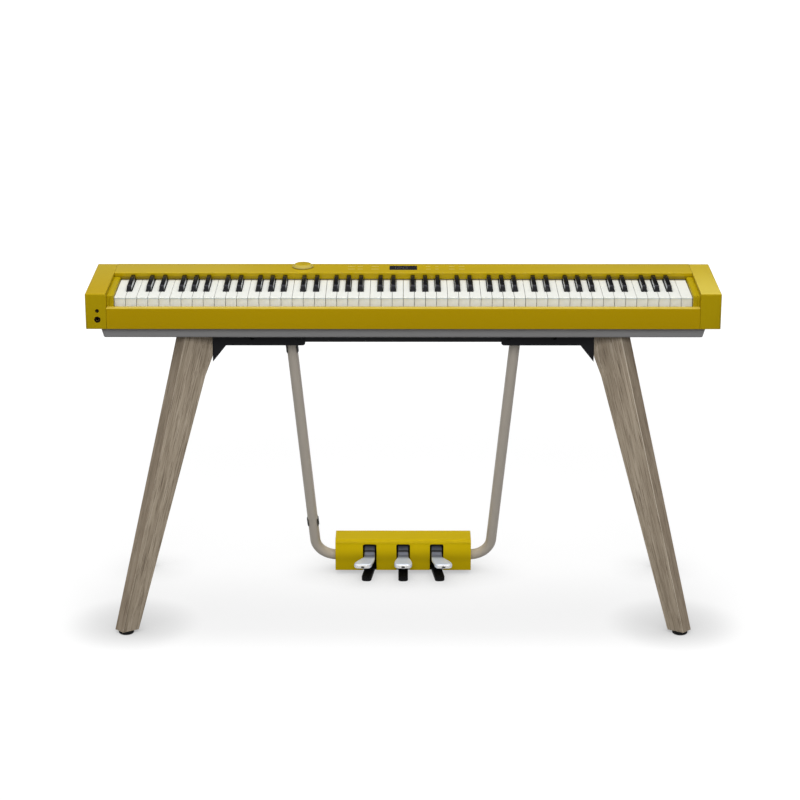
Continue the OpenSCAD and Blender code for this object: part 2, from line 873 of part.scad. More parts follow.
module key_felt() {
    half = keys_w / 2 - 2;
    front = key_front - lip_d + 6;
    color("firebrick") block([-half, front, felt_base()], [half, front + felt_d, felt_base() + felt_h]);
}

module case_screws() {
    color("#303030") at_case_screws() {
        along_z(case_base + 0.2, case_base + 0.2 + m3_head_h) circle(m3_head_r);
        along_z(case_base + 0.2 + m3_head_h, frame_z + frame_t) circle(m3_r);
    }
}

// ---------- stand ----------

leg_top = case_base - steel;
// Heights at which the leg's inner face leaves the bracket and then runs straight
leg_face_z = case_base - 52;
leg_knee_z = case_base - 93;
// How far the inner face steps out between them
leg_knee = 15.8;
// Width of the slanted face outside the ridge, at the top and at the foot
ridge_w = 20;
ridge_foot_w = 19;

// Share of the way from the leg's top down to its foot
function down(z) = (leg_top - z) / (leg_top - glide_h);
function mix(a, b, t) = a + (b - a) * t;

// Outline of a front right leg at a height: inner face, ridge, outer corner, back.
// The inward bend keeps the inner face upright beside the bracket.
function leg_outline(z) =
    let (
        t = down(z),
        foot_out = foot_span_x / 2,
        outer = mix(leg_in_x + leg_top_w, foot_out, t),
        knee = down(leg_knee_z),
        knee_in = leg_in_x + leg_knee,
        inner = z >= leg_face_z ? leg_in_x
            : z >= leg_knee_z ? knee_in
            : mix(knee_in, foot_out - leg_foot_w, (t - knee) / (1 - knee)),
        ridge_x = outer - mix(ridge_w, ridge_foot_w, t),
        ridge_y = -mix(leg_top_y, foot_span_y / 2, t),
        back_y = ridge_y + mix(leg_top_d, leg_foot_d, t)
    )
    [
        [inner, ridge_y + mix(leg_top_d, leg_foot_d, t) / 2],
        [ridge_x, ridge_y],
        [outer, ridge_y + mix(ridge_w, ridge_foot_w, t)],
        [outer - ridge_w / 2, back_y],
        [inner, back_y]
    ];

module leg_slice(z) {
    translate([0, 0, z]) linear_extrude(0.01) polygon(leg_outline(z));
}

module leg(side, end) {
    heights = [leg_top - 0.01, leg_face_z, leg_knee_z, glide_h];
    color("#8f8474") on_side(side) mirror([0, end > 0 ? 1 : 0, 0]) difference() {
        union() {
            for (i = [0 : 2]) {
                hull() {
                    leg_slice(heights[i]);
                    leg_slice(heights[i + 1]);
                }
            }
        }
        for (z = leg_bolt_z()) {
            rod_x([leg_in_x - past, -leg_bolt_y(), z], m6_r, 24 + past);
        }
        translate([glide_x(), -glide_y(), glide_h - past]) cylinder(h = 20 + past, r = 4);
    }
}

function glide_x() = foot_span_x / 2 - leg_foot_w / 2 + 1;
function glide_y() = foot_span_y / 2 - glide_d / 2;
function leg_bolt_y() = leg_top_y - 37;
function leg_bolt_z() = [case_base - 16, case_base - 38];

module leg_glides() {
    color("#111111") for (sx = [-1, 1], sy = [-1, 1]) {
        translate([sx * glide_x(), sy * glide_y(), 0]) {
            rotate_extrude() polygon([
                [0, 0],
                [glide_d / 2 - 1.5, 0],
                [glide_d / 2, 1.5],
                [glide_d / 2, glide_h - 1],
                [glide_d / 2 - 1, glide_h],
                [0, glide_h]
            ]);
            along_z(glide_h, glide_h + 20) circle(4);
        }
    }
}

module bracket(side) {
    top = case_base;
    low = case_base - bracket_h;
    half = bracket_d / 2;
    end = leg_in_x;
    corner_r = 6;
    gusset_x = leg_in_x - 29;
    gusset_z = case_base - 66;
    notch = [11, 16.5];
    ear_x = leg_in_x + leg_top_w - 16;
    color("#212121") on_side(side) difference() {
        union() {
            along_z(top - steel, top) {
                translate([bracket_in, -half]) square([end - bracket_in, bracket_d]);
                for (sy = [-1, 1]) {
                    y = sy * (leg_top_y - 36);
                    translate([end - past, y - 11]) square([ear_x - end + past, 22]);
                }
            }
            for (y = [-half, half - steel]) {
                along_y(y, y + steel) difference() {
                    union() {
                        soft_rect([bracket_in, low], [end, top - steel], [corner_r, 0, 0, 0]);
                        polygon([[gusset_x, low + past], [gusset_x, low], [end, gusset_z], [end, low + past]]);
                    }
                    for (x = [bracket_screw_x, bracket_in + 15]) {
                        soft_rect([x - notch.x / 2, top - notch.y], [x + notch.x / 2, top],
                                  [5, 5, 0, 0]);
                    }
                }
            }
            block([end - steel, -half, leg_face_z + 2], [end, half, top - steel]);
        }
        at_bracket_screws() along_z(top - steel - past, top + past) circle(m6_r);
        for (sy = [-1, 1], z = leg_bolt_z()) {
            rod_x([end - steel - past, sy * leg_bolt_y(), z], m6_r, steel + 2 * past);
        }
        at_flange_screws() along_z(top - steel - past, top + past) circle(m3_r);
    }
}

module at_bracket_screws() {
    for (sy = [-1, 1], x = [beam_screw_x, bracket_screw_x]) {
        translate([x, sy * mount_screw_y, 0]) children();
    }
}

module cross_beam() {
    top = case_base - steel;
    half = bracket_d / 2 - steel;
    color("#262626") difference() {
        along_x(-beam_end, beam_end) difference() {
            soft_rect([-half, top - beam_h], [half, top], [0, 0, 1, 1]);
            translate([-half + steel, top - beam_h - past])
                square([2 * (half - steel), beam_h + past - steel]);
        }
        for (sx = [-1, 1], sy = [-1, 1]) {
            translate([sx * beam_screw_x, sy * mount_screw_y, 0])
                along_z(top - steel - past, top + past) circle(m6_r);
        }
    }
}

module leg_bolts() {
    color("#2c2c2c") for (side = [-1, 1], sy = [-1, 1], z = leg_bolt_z()) {
        on_side(side) {
            rod_x([leg_in_x - steel - m6_head_h, sy * leg_bolt_y(), z], m6_head_r, m6_head_h);
            rod_x([leg_in_x - steel, sy * leg_bolt_y(), z], m6_r, steel + 24);
        }
    }
}

module mounting_screws() {
    shank_top = frame_z - 2;
    color("#2c2c2c") {
        for (sx = [-1, 1], sy = [-1, 1], joint = [[beam_screw_x, 2], [bracket_screw_x, 1]]) {
            translate([sx * joint[0], sy * mount_screw_y, 0]) {
                under = case_base - joint[1] * steel;
                along_z(under - m6_head_h, under) circle(m6_head_r);
                along_z(under, shank_top) circle(m6_r);
            }
        }
        for (side = [-1, 1]) {
            on_side(side) at_flange_screws() {
                along_z(tube_top_z - m3_head_h, tube_top_z) circle(m3_head_r);
                along_z(tube_top_z, case_base) circle(m3_r);
            }
        }
    }
}

// ---------- pedal unit ----------

// The tube's own plane: the bend's centre is its origin, x runs out and z up the tube
module in_tube_plane() {
    translate(bend_at) rotate([tube_lean, 0, 0]) rotate([0, tube_splay, 0]) children();
}

module tube_section() {
    difference() {
        circle(tube_d / 2);
        circle(tube_d / 2 - tube_wall);
    }
}

module at_flange_screws() {
    for (sy = [-1, 1]) {
        translate([tube_top.x, tube_top.y + sy * flange_screw_y, 0]) children();
    }
}

module pedal_tube(side) {
    above = 12;
    half_x = tube_d / 2 + 0.5;
    half_y = flange_screw_y + 6;
    color("#938b81") on_side(side) difference() {
        union() {
            in_tube_plane() {
                translate([tube_bend, 0, 0]) linear_extrude(tube_run + above) tube_section();
                rotate([90, 0, 0]) rotate([0, 0, -90])
                    rotate_extrude(angle = 90) translate([tube_bend, 0]) tube_section();
                translate([-tube_in, 0, -tube_bend]) rotate([0, 90, 0])
                    linear_extrude(tube_in) tube_section();
            }
            translate([tube_top.x, tube_top.y, 0]) along_z(tube_top_z, tube_top_z + steel)
                soft_rect([-half_x, -half_y], [half_x, half_y], [4, 4, 4, 4]);
        }
        // The slanted tube is cut level with the flange's top
        translate([tube_top.x, tube_top.y, 0])
            block([-60, -60, tube_top_z + steel], [60, 60, tube_top_z + 60]);
        at_flange_screws() along_z(tube_top_z - past, tube_top_z + steel + past) circle(m3_r);
    }
}

// Distance of each clip down the tube
CLIP_PLACES = [36, 524];

// Each clip grips the tube from behind and is open towards the player
module cable_clips() {
    clip_w = 18;
    clip_t = 1.8;
    r = tube_d / 2;
    mouth = r - 1.5;
    color("#111111") on_side(-1) in_tube_plane() {
        for (s = CLIP_PLACES) {
            translate([tube_bend, 0, tube_run - s - clip_w]) difference() {
                union() {
                    cylinder(h = clip_w, r = r + clip_t);
                    translate([-5, r - 1, 0]) cube([10, 8, clip_w]);
                }
                translate([0, 0, -past]) cylinder(h = clip_w + 2 * past, r = r);
                translate([0, r + clip_t + 2.2, -past]) cylinder(h = clip_w + 2 * past, r = 2.2);
                translate([-mouth, -2 * r, -past]) cube([2 * mouth, 2 * r, clip_w + 2 * past]);
            }
        }
    }
}

module pedal_cover() {
    half = box_w / 2;
    slot_h = box_h - 10;
    color("goldenrod") difference() {
        intersection() {
            along_x(-half, half)
                soft_rect([box_front, box_lift], [box_rear, box_top], [0, 0, 4, box_r]);
            along_y(box_front, box_rear)
                soft_rect([-half, box_lift], [half, box_top], [0, 0, 2.5, 2.5]);
        }
        along_x(-half + cover_t, half - cover_t)
            soft_rect([box_front + cover_t, box_lift - past], [box_rear - cover_t, box_top - cover_t],
                      [0, 0, 1.5, box_r - cover_t]);
        for (i = [-1 : 1]) {
            x = i * pedal_pitch;
            along_y(box_front - past, box_front + box_r)
                soft_rect([x - slot_w / 2, box_lift - past], [x + slot_w / 2, box_lift + slot_h],
                          [0, 0, 4, 4]);
        }
        for (sx = [-1, 1]) {
            rod_x([sx * half - cover_t - past, tube_y, tube_z], tube_d / 2 + 1, 2 * (cover_t + past));
        }
    }
}

module pedal_base() {
    half = box_w / 2 - cover_t - 0.3;
    saddle_x = bend_at.x - tube_in;
    post_t = 5;
    color("#1d1d1d") difference() {
        union() {
            block([-half, box_front + cover_t + 0.3, box_lift],
                  [half, box_rear - cover_t - 0.3, box_lift + base_t]);
            for (side = [-1, 1]) {
                // Saddle that clamps the tube's end
                on_side(side) along_x(saddle_x, saddle_x + 15)
                    soft_rect([tube_y - tube_d / 2 - 5, box_lift + base_t - past],
                              [tube_y + tube_d / 2 + 4, tube_z + tube_d / 2 + 5], [0, 0, 5, 5]);
            }
            for (x = shaft_posts()) {
                along_x(x - post_t / 2, x + post_t / 2) {
                    translate([shaft_y - 7, box_lift + base_t - past])
                        square([14, shaft_z - box_lift - base_t + past]);
                    translate([shaft_y, shaft_z]) circle(7);
                }
            }
        }
        rod_x([-half, shaft_y, shaft_z], shaft_d / 2, 2 * half);
        for (side = [-1, 1]) {
            on_side(side) in_tube_plane() rod_x([-60, 0, -tube_bend], tube_d / 2, 60);
        }
    }
}

// The shaft lies in posts at its ends and between the pedals
function shaft_posts() = [for (i = [-1.5 : 1 : 1.5]) i * pedal_pitch];

module pedal_shaft() {
    half = 1.5 * pedal_pitch + 4;
    color("silver") rod_x([-half, shaft_y, shaft_z], shaft_d / 2, 2 * half);
}

// Each pedal's torsion spring, drawn as coils side by side round the shaft
module pedal_springs() {
    wire_r = 1.1;
    coils = 6;
    color("silver") for (i = [-1 : 1], c = [0 : coils - 1]) {
        translate([i * pedal_pitch + neck_w / 2 + 2 + wire_r + c * 2 * wire_r, shaft_y, shaft_z])
            rotate([0, 90, 0]) rotate_extrude()
                translate([shaft_d / 2 + 0.3 + wire_r, 0]) circle(wire_r);
    }
}

pedal_tip_y = box_front - pedal_reach;
pedal_tip_low = box_lift + 31;
pedal_lip = 10;
pedal_t = 6;

// Side view of a pedal: a level paddle, a neck that rises, and an arm back to the hub
function pedal_profile() =
    let (
        top = pedal_tip_low + pedal_lip,
        under = top - pedal_t,
        arm_top = shaft_z + 10,
        arm_low = shaft_z - 1,
        neck_y = box_front - 13,
        bend = 9,
        fillet = 4
    )
    concat(
        [[pedal_tip_y + 3, pedal_tip_low], [pedal_tip_y + 9, pedal_tip_low]],
        [[pedal_tip_y + 13, under]],
        arc([neck_y + 8, under + fillet], fillet, -90, -30, 3),
        arc([neck_y + 25, arm_low - fillet], fillet, 150, 90, 3),
        [[shaft_y + 3, arm_low], [shaft_y + 3, arm_top]],
        arc([neck_y + 20, arm_top - bend], bend, 90, 150, 5),
        arc([neck_y, top + bend], bend, -30, -90, 5),
        arc([pedal_tip_y + 3, top - 3], 3, 90, 180, 3),
        [[pedal_tip_y, pedal_tip_low + 3]]
    );

// Half width of the pedal at a distance from its tip, from its round nose to its neck
function paddle_half(s) =
    let (
        wide = paddle_w / 2,
        neck = neck_w / 2,
        nose = 9,
        waist = pedal_reach - 14
    )
    s < nose ? wide - nose + sqrt(max(0, nose * nose - (nose - s) * (nose - s)))
    : s < waist ? neck + (wide - neck) * (0.5 + 0.5 * cos(180 * pow((s - nose) / (waist - nose), 1.3)))
    : neck;

// Outward shift of a side pedal: none at the box, all of it at the tip
function sweep(s) =
    let (t = max(0, 1 - s / (pedal_reach - 12)))
    pedal_flare * sin(90 * t);

function pedal_plan(side) =
    let (
        stations = concat([0, 0.7, 2, 4, 7], [for (s = [12 : 6 : pedal_reach - 6]) s]),
        last = len(stations) - 1
    )
    concat(
        [for (s = stations) [side * sweep(s) + paddle_half(s), pedal_tip_y + s]],
        [[neck_w / 2, shaft_y + 8], [-neck_w / 2, shaft_y + 8]],
        [for (i = [last : -1 : 0]) let (s = stations[i])
            [side * sweep(s) - paddle_half(s), pedal_tip_y + s]]
    );

module pedal(side) {
    color("silver") translate([side * pedal_pitch, 0, 0]) difference() {
        intersection() {
            along_z(0, box_top) polygon(pedal_plan(side));
            along_x(-paddle_w, paddle_w) {
                polygon(pedal_profile());
                translate([shaft_y, shaft_z]) circle(shaft_d / 2 + 4);
            }
        }
        rod_x([-paddle_w, shaft_y, shaft_z], shaft_d / 2 + running, 2 * paddle_w);
    }
}

// Three rubber-shod feet under the box, each reaching forward beneath its pedal
module pedal_feet() {
    foot_w = 22;
    nose_y = box_front - 44;
    splay = 7;
    color("#0e0e0e") for (i = [-1 : 1]) {
        translate([i * pedal_pitch, box_front + 20, 0]) rotate([0, 0, i * splay]) intersection() {
            along_z(0, 20)
                soft_rect([-foot_w / 2, nose_y - box_front - 20], [foot_w / 2, 30], [8, 8, 0, 0]);
            along_x(-foot_w, foot_w) polygon([
                [nose_y - box_front - 20, 0],
                [nose_y - box_front - 20, 7],
                [nose_y - box_front - 14, box_lift],
                [30, box_lift],
                [30, 0]
            ]);
        }
    }
}

// ---------- nodes ----------

MIDDLE = KEYS_BEFORE_MIDDLE;
bottom_case();
end_block(-1);  // end_block_left
end_block(1);  // end_block_right
key_cheek(-1);  // key_cheek_left
key_cheek(1);  // key_cheek_right
front_rail();
top_panel();
rear_cover();
speaker_grilles();
display_window();
dial_knob();
dial_rim();
dial_encoder();
panel_board();
headphone_sockets();
rear_sockets();
speakers();
key_frame();
pivot_rod();
key_felt();
main_board();
case_screws();
naturals(0, MIDDLE - 1);  // naturals_bass
sharps(0, MIDDLE - 1);  // sharps_bass
naturals(MIDDLE + 7, NATURALS - 1);  // naturals_treble
sharps(MIDDLE + 7, NATURALS - 1);  // sharps_treble
naturals(MIDDLE, MIDDLE);  // key_c4
sharps(MIDDLE, MIDDLE);  // key_c_sharp4
naturals(MIDDLE + 1, MIDDLE + 1);  // key_d4
sharps(MIDDLE + 1, MIDDLE + 1);  // key_d_sharp4
naturals(MIDDLE + 2, MIDDLE + 2);  // key_e4
naturals(MIDDLE + 3, MIDDLE + 3);  // key_f4
sharps(MIDDLE + 3, MIDDLE + 3);  // key_f_sharp4
naturals(MIDDLE + 4, MIDDLE + 4);  // key_g4
sharps(MIDDLE + 4, MIDDLE + 4);  // key_g_sharp4
naturals(MIDDLE + 5, MIDDLE + 5);  // key_a4
sharps(MIDDLE + 5, MIDDLE + 5);  // key_a_sharp4
naturals(MIDDLE + 6, MIDDLE + 6);  // key_b4
leg(-1, -1);  // leg_front_left
leg(1, -1);  // leg_front_right
leg(-1, 1);  // leg_rear_left
leg(1, 1);  // leg_rear_right
leg_glides();
bracket(-1);  // bracket_left
bracket(1);  // bracket_right
cross_beam();
leg_bolts();
mounting_screws();
pedal_tube(-1);  // pedal_tube_left
pedal_tube(1);  // pedal_tube_right
cable_clips();
pedal_cover();
pedal_base();
pedal_feet();
pedal_shaft();
pedal_springs();
pedal(-1);  // pedal_left
pedal(0);  // pedal_middle
pedal(1);  // pedal_right
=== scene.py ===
# %% [markdown]
# # Dressing a slim digital piano
#
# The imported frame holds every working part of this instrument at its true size: covers,
# 88 keys on one rod, a wooden stand and a pedal unit. This lesson gives those parts the
# finish of the real thing. Every piece stays in the frame's own place, in metres, with +Z
# up and the player on the -Y side. The bass end is at -X.

# %% Load the frame
import json
import math

import bmesh
import bpy
import numpy as np
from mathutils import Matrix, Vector


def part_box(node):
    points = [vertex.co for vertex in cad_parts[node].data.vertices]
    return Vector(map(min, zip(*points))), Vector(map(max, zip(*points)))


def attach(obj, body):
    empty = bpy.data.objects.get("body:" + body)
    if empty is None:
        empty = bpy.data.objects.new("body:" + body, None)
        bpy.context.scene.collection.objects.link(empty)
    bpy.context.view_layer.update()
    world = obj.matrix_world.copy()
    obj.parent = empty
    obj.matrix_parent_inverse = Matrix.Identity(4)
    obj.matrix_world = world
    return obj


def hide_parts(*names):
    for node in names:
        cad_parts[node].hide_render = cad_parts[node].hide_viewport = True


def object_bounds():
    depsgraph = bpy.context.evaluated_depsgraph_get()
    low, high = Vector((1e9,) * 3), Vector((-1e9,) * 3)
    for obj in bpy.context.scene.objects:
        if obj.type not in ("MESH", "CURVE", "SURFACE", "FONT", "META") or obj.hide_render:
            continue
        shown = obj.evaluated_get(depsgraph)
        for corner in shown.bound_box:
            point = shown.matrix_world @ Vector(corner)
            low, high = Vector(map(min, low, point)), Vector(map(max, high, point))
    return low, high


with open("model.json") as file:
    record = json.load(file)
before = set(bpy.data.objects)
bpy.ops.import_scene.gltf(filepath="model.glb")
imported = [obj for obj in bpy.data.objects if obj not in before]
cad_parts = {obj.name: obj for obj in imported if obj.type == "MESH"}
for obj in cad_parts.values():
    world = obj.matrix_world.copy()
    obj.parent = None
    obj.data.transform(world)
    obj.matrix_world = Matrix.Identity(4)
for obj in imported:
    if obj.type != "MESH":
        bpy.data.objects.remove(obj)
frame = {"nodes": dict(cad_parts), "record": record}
nodes = frame["nodes"]
cad_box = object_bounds()
print(len(nodes), "parts, from", [round(v, 3) for v in cad_box[0]], "to", [round(v, 3) for v in cad_box[1]])

# %% [markdown]
# ## Camera
#
# A product like this is shown from a little above eye height and a long way off, so that
# the keyboard hardly narrows towards its ends. That takes a long lens. The camera looks
# almost straight along +Y and tips down to show the keys' tops.

# %% Camera
LENS_MM = 110.7
SENSOR_MM = 36
TIP_DOWN = math.radians(18.304)
TURN_LEFT = math.radians(0.079)
CAMERA_AT = Vector((0, -5.097, 2.151))

scene = bpy.context.scene
scene.view_settings.view_transform = "Standard"

lens = bpy.data.cameras.new("camera")
lens.lens = LENS_MM
lens.sensor_width = SENSOR_MM
camera = bpy.data.objects.new("camera", lens)
camera.location = CAMERA_AT
camera.rotation_euler = (math.radians(90) - TIP_DOWN, 0, TURN_LEFT)
scene.collection.objects.link(camera)
scene.camera = camera
print("camera", round((CAMERA_AT - (cad_box[0] + cad_box[1]) / 2).length, 2), "m from the middle")

# %% [markdown]
# ## Shader maths
#
# A material is a graph of nodes. Wiring it call by call hides the idea behind it, so one
# small class wraps an output socket, and its operators add the Math nodes. Every other
# kind of node comes from one function. A second class holds a material while it is made.

# %% A socket that can be used in sums
def plug(tree, socket, value):
    """Links a wire to a socket, or sets the socket's own value."""
    if isinstance(value, Wire):
        tree.links.new(value.socket, socket)
    else:
        socket.default_value = value


def set_stops(ramp, stops):
    """Gives a colour ramp its places and their colours."""
    while len(ramp.elements) < len(stops):
        ramp.elements.new(1)
    for element, (place, colour) in zip(ramp.elements, stops):
        element.position = place
        element.color = colour


def add_node(tree, kind, settings=None, inputs=None, out=0):
    """Adds a node: its settings first, then the values or wires of its sockets. A list holds
    several wires for one socket."""
    node = tree.nodes.new(kind)
    for name, value in (settings or {}).items():
        if name == "stops":
            set_stops(node.color_ramp, value)
        else:
            setattr(node, name, value)
    for name, value in (inputs or {}).items():
        for each in value if isinstance(value, list) else [value]:
            plug(tree, node.inputs[name], each)
    return Wire(tree, node.outputs[out])


class Wire:
    def __init__(self, tree, socket):
        self.tree = tree
        self.socket = socket

    def math(self, operation, first, second):
        return add_node(self.tree, "ShaderNodeMath", {"operation": operation}, {0: first, 1: second})

    def __add__(self, other):
        return self.math("ADD", self, other)

    def __radd__(self, other):
        return self.math("ADD", other, self)

    def __sub__(self, other):
        return self.math("SUBTRACT", self, other)

    def __rsub__(self, other):
        return self.math("SUBTRACT", other, self)

    def __mul__(self, other):
        return self.math("MULTIPLY", self, other)

    def __rmul__(self, other):
        return self.math("MULTIPLY", other, self)


print("sockets can be added, subtracted and multiplied")

# %% A material while it is made
def tint(code):
    """A colour written as six hexadecimal digits, in the linear values that shaders use."""
    parts = [int(code[i:i + 2], 16) / 255 for i in (0, 2, 4)]
    linear = [v / 12.92 if v <= 0.04045 else ((v + 0.055) / 1.055) ** 2.4 for v in parts]
    return (*linear, 1)


class Finish:
    def __init__(self, name):
        self.material = bpy.data.materials.new(name)
        self.material.use_nodes = True
        self.tree = self.material.node_tree
        self.surface = self.tree.nodes["Principled BSDF"]

    def add(self, kind, settings=None, inputs=None, out=0):
        return add_node(self.tree, kind, settings, inputs, out)

    def place(self, stretch=(1, 1, 1)):
        """Object coordinates. A small factor in stretch draws a pattern out along that axis."""
        at = self.add("ShaderNodeTexCoord", out="Object")
        return self.add("ShaderNodeMapping", None, {"Vector": at, "Scale": stretch})

    def along(self, axis):
        """One of the three object coordinates, in metres."""
        at = self.add("ShaderNodeTexCoord", out="Object")
        return self.add("ShaderNodeSeparateXYZ", None, {"Vector": at}, out=axis)

    def step(self, value, low, high):
        """0 below low, 1 above high, and a smooth rise between them."""
        settings = {"interpolation_type": "SMOOTHSTEP"}
        return self.add("ShaderNodeMapRange", settings, {"Value": value, "From Min": low, "From Max": high})

    def edge(self, value, origin, marks):
        """A step between two marks that are measured from an origin."""
        return self.step(value, origin + marks[0], origin + marks[1])

    def band(self, value, origin, marks):
        """A rise between the first two marks, and a fall between the last two."""
        return self.edge(value, origin, marks[:2]) * (1 - self.edge(value, origin, marks[2:]))

    def noise(self, at, scale, detail=2, roughness=0.5):
        values = {"Vector": at, "Scale": scale, "Detail": detail, "Roughness": roughness}
        return self.add("ShaderNodeTexNoise", None, values)

    def ramp(self, value, stops):
        return self.add("ShaderNodeValToRGB", {"stops": stops}, {"Fac": value})

    def blend(self, share, first, second):
        """The first colour where the share is 0, and the second where it is 1."""
        return self.add("ShaderNodeMix", {"data_type": "RGBA"}, {0: share, 6: first, 7: second}, out=2)

    def set(self, **sockets):
        for name, value in sockets.items():
            plug(self.tree, self.surface.inputs[name.replace("_", " ")], value)

    def bump(self, height, depth, strength=1.0):
        """Feeds Normal with a relief whose full height is depth, in metres."""
        values = {"Height": height, "Distance": depth, "Strength": strength}
        self.set(Normal=self.add("ShaderNodeBump", None, values))

    def grain(self, pattern, low, high, rough, spread=0, relief=0):
        """Lets one pattern lead: it takes the colour from low to high, adds its spread to the
        roughness, and stands out by the relief."""
        self.set(
            Base_Color=self.blend(pattern, tint(low), tint(high)),
            Roughness=pattern * spread + rough if spread else rough,
        )
        if relief:
            self.bump(pattern, relief)

    def show(self, shader):
        """Shows another shader than the plain surface."""
        self.tree.links.new(shader.socket, self.tree.nodes["Material Output"].inputs["Surface"])


print("material helper ready")

# %% [markdown]
# ## Floor and light
#
# The studio is white all round, with one broad soft light overhead and a weaker one in
# front, so tops come out brighter than fronts. The floor must look white and still keep
# the shadow. So it adds a little light of its own for the camera only, on top of what the
# lamps give it. That share grows away from the instrument, where the lamps reach less. An
# Ambient Occlusion node takes it back close to the feet and under the pedal box. Shallow
# pools take some of it back along the front feet and at each of them, where the case
# blocks the light.

# %% Floor
FLOOR_R = 30
FLOOR_COLOUR = (0.15, 0.15, 0.151, 1)
# The floor's own light: its share close by, how much it grows, and over which distances
GLOW_NEAR = 0.87
GLOW_RISE = 0.3
GLOW_RANGE = (1.0, 3.6)
# How far a contact shadow reaches, and how much of the glow each kind of shadow takes
CONTACT_REACH = 0.1
CONTACT_DEPTH = 0.45
POOL_DEPTH = 0.11
FOOT_DEPTH = 0.16
# The long pool by its marks in Y and its ends in X, and the round ones by middle and radius
POOL_Y = (-0.32, -0.17, -0.14, 0.25)
POOL_X = (0.62, 0.78)
FOOT_X = 0.59
FOOT_Y = -0.15
FOOT_R = 0.16


def mesh_of(name, shape):
    """Turns a finished shape into a mesh, and frees the shape."""
    mesh = bpy.data.meshes.new(name)
    shape.to_mesh(mesh)
    shape.free()
    return mesh


def seen_rays(tree):
    """1 for what the camera sees, also in a reflection or through something clear, and 0 for
    the light that falls on other surfaces."""
    kinds = ("Is Camera Ray", "Is Glossy Ray", "Is Transmission Ray")
    direct, reflected, clear = [add_node(tree, "ShaderNodeLightPath", out=kind) for kind in kinds]
    return direct + reflected + clear


def floor_pools(paint):
    """Share of the glow that the pools take away."""
    across = paint.along("X")
    depth = paint.along("Y")
    pool = paint.band(depth, 0, POOL_Y) * (1 - paint.step(across * across, *[x ** 2 for x in POOL_X]))
    beside = across.math("ABSOLUTE", across, 0) - FOOT_X
    behind = depth - FOOT_Y
    at_foot = 1 - paint.step(beside * beside + behind * behind, 0, FOOT_R ** 2)
    return pool * POOL_DEPTH + at_foot * FOOT_DEPTH


def floor_finish():
    paint = Finish("studio_floor")
    paint.set(Base_Color=FLOOR_COLOUR, Roughness=0.9, Specular_IOR_Level=0.0)
    at = paint.add("ShaderNodeTexCoord", out="Object")
    away = paint.add("ShaderNodeVectorMath", {"operation": "LENGTH"}, {0: at}, out="Value")
    free = paint.add("ShaderNodeAmbientOcclusion", {"samples": 4}, {"Distance": CONTACT_REACH}, out="AO")
    share = paint.step(away, *GLOW_RANGE) * GLOW_RISE + GLOW_NEAR
    share = share * (1 - (1 - free) * CONTACT_DEPTH) * (1 - floor_pools(paint))
    glow = {"Color": (1, 1, 1, 1), "Strength": seen_rays(paint.tree) * share}
    glow = paint.add("ShaderNodeEmission", None, glow)
    lit = Wire(paint.tree, paint.surface.outputs[0])
    paint.show(paint.add("ShaderNodeAddShader", None, {0: lit, 1: glow}))
    return paint.material


shape = bmesh.new()
bmesh.ops.create_circle(shape, cap_ends=True, segments=96, radius=FLOOR_R)
floor = bpy.data.objects.new("floor", mesh_of("floor", shape))
floor.location.z = cad_box[0].z
floor.data.materials.append(floor_finish())
scene.collection.objects.link(floor)
print("floor at z =", floor.location.z)

# %% Lamps and a white room
LAMP_AIM = Vector((0, 0, 0.45))
# Place, width, depth and watts of each lamp
LAMPS = {
    "light_overhead": ((0, -0.3, 3.6), 4.2, 3.0, 76),
    "light_front": ((0, -3.8, 3.1), 2.2, 1.6, 78),
    "light_left": ((-3.6, -1.6, 1.8), 2.0, 2.4, 3),
    "light_right": ((3.6, -1.2, 1.8), 2.0, 2.4, 2),
}
AMBIENT = 0.45


def soft_lamp(name, at, width, depth, watts):
    light = bpy.data.lights.new(name, "AREA")
    light.shape = "RECTANGLE"
    light.size = width
    light.size_y = depth
    light.energy = watts
    lamp = bpy.data.objects.new(name, light)
    lamp.location = at
    lamp.rotation_euler = (LAMP_AIM - Vector(at)).to_track_quat("-Z", "Y").to_euler()
    scene.collection.objects.link(lamp)


def white_room():
    """A room that lights the set with less than the full white that the camera sees."""
    world = bpy.data.worlds.new("studio")
    world.use_nodes = True
    scene.world = world
    tree = world.node_tree
    room = tree.nodes["Background"]
    plug(tree, room.inputs["Color"], (1, 1, 1, 1))
    plug(tree, room.inputs["Strength"], seen_rays(tree) * (1 - AMBIENT) + AMBIENT)


for name, values in LAMPS.items():
    soft_lamp(name, *values)
white_room()
print(len(LAMPS), "soft lamps and a white room")

# %% [markdown]
# A white room alone washes out every gloss surface that is seen at a flat angle: the
# panel, the black keys and the steel would all look dusty. A studio has dark cards round
# the set, out of view, for the gloss to reflect. Here they form a ring that only
# reflections can see. Behind the bass end it has a paler card with a slanting edge, which
# draws a soft diagonal across the panel.

# %% Dark cards for the reflections
CARD_R = 8
CARD_LOW = 0.95
CARD_HIGH = 8.0
CARD_STEP = 6


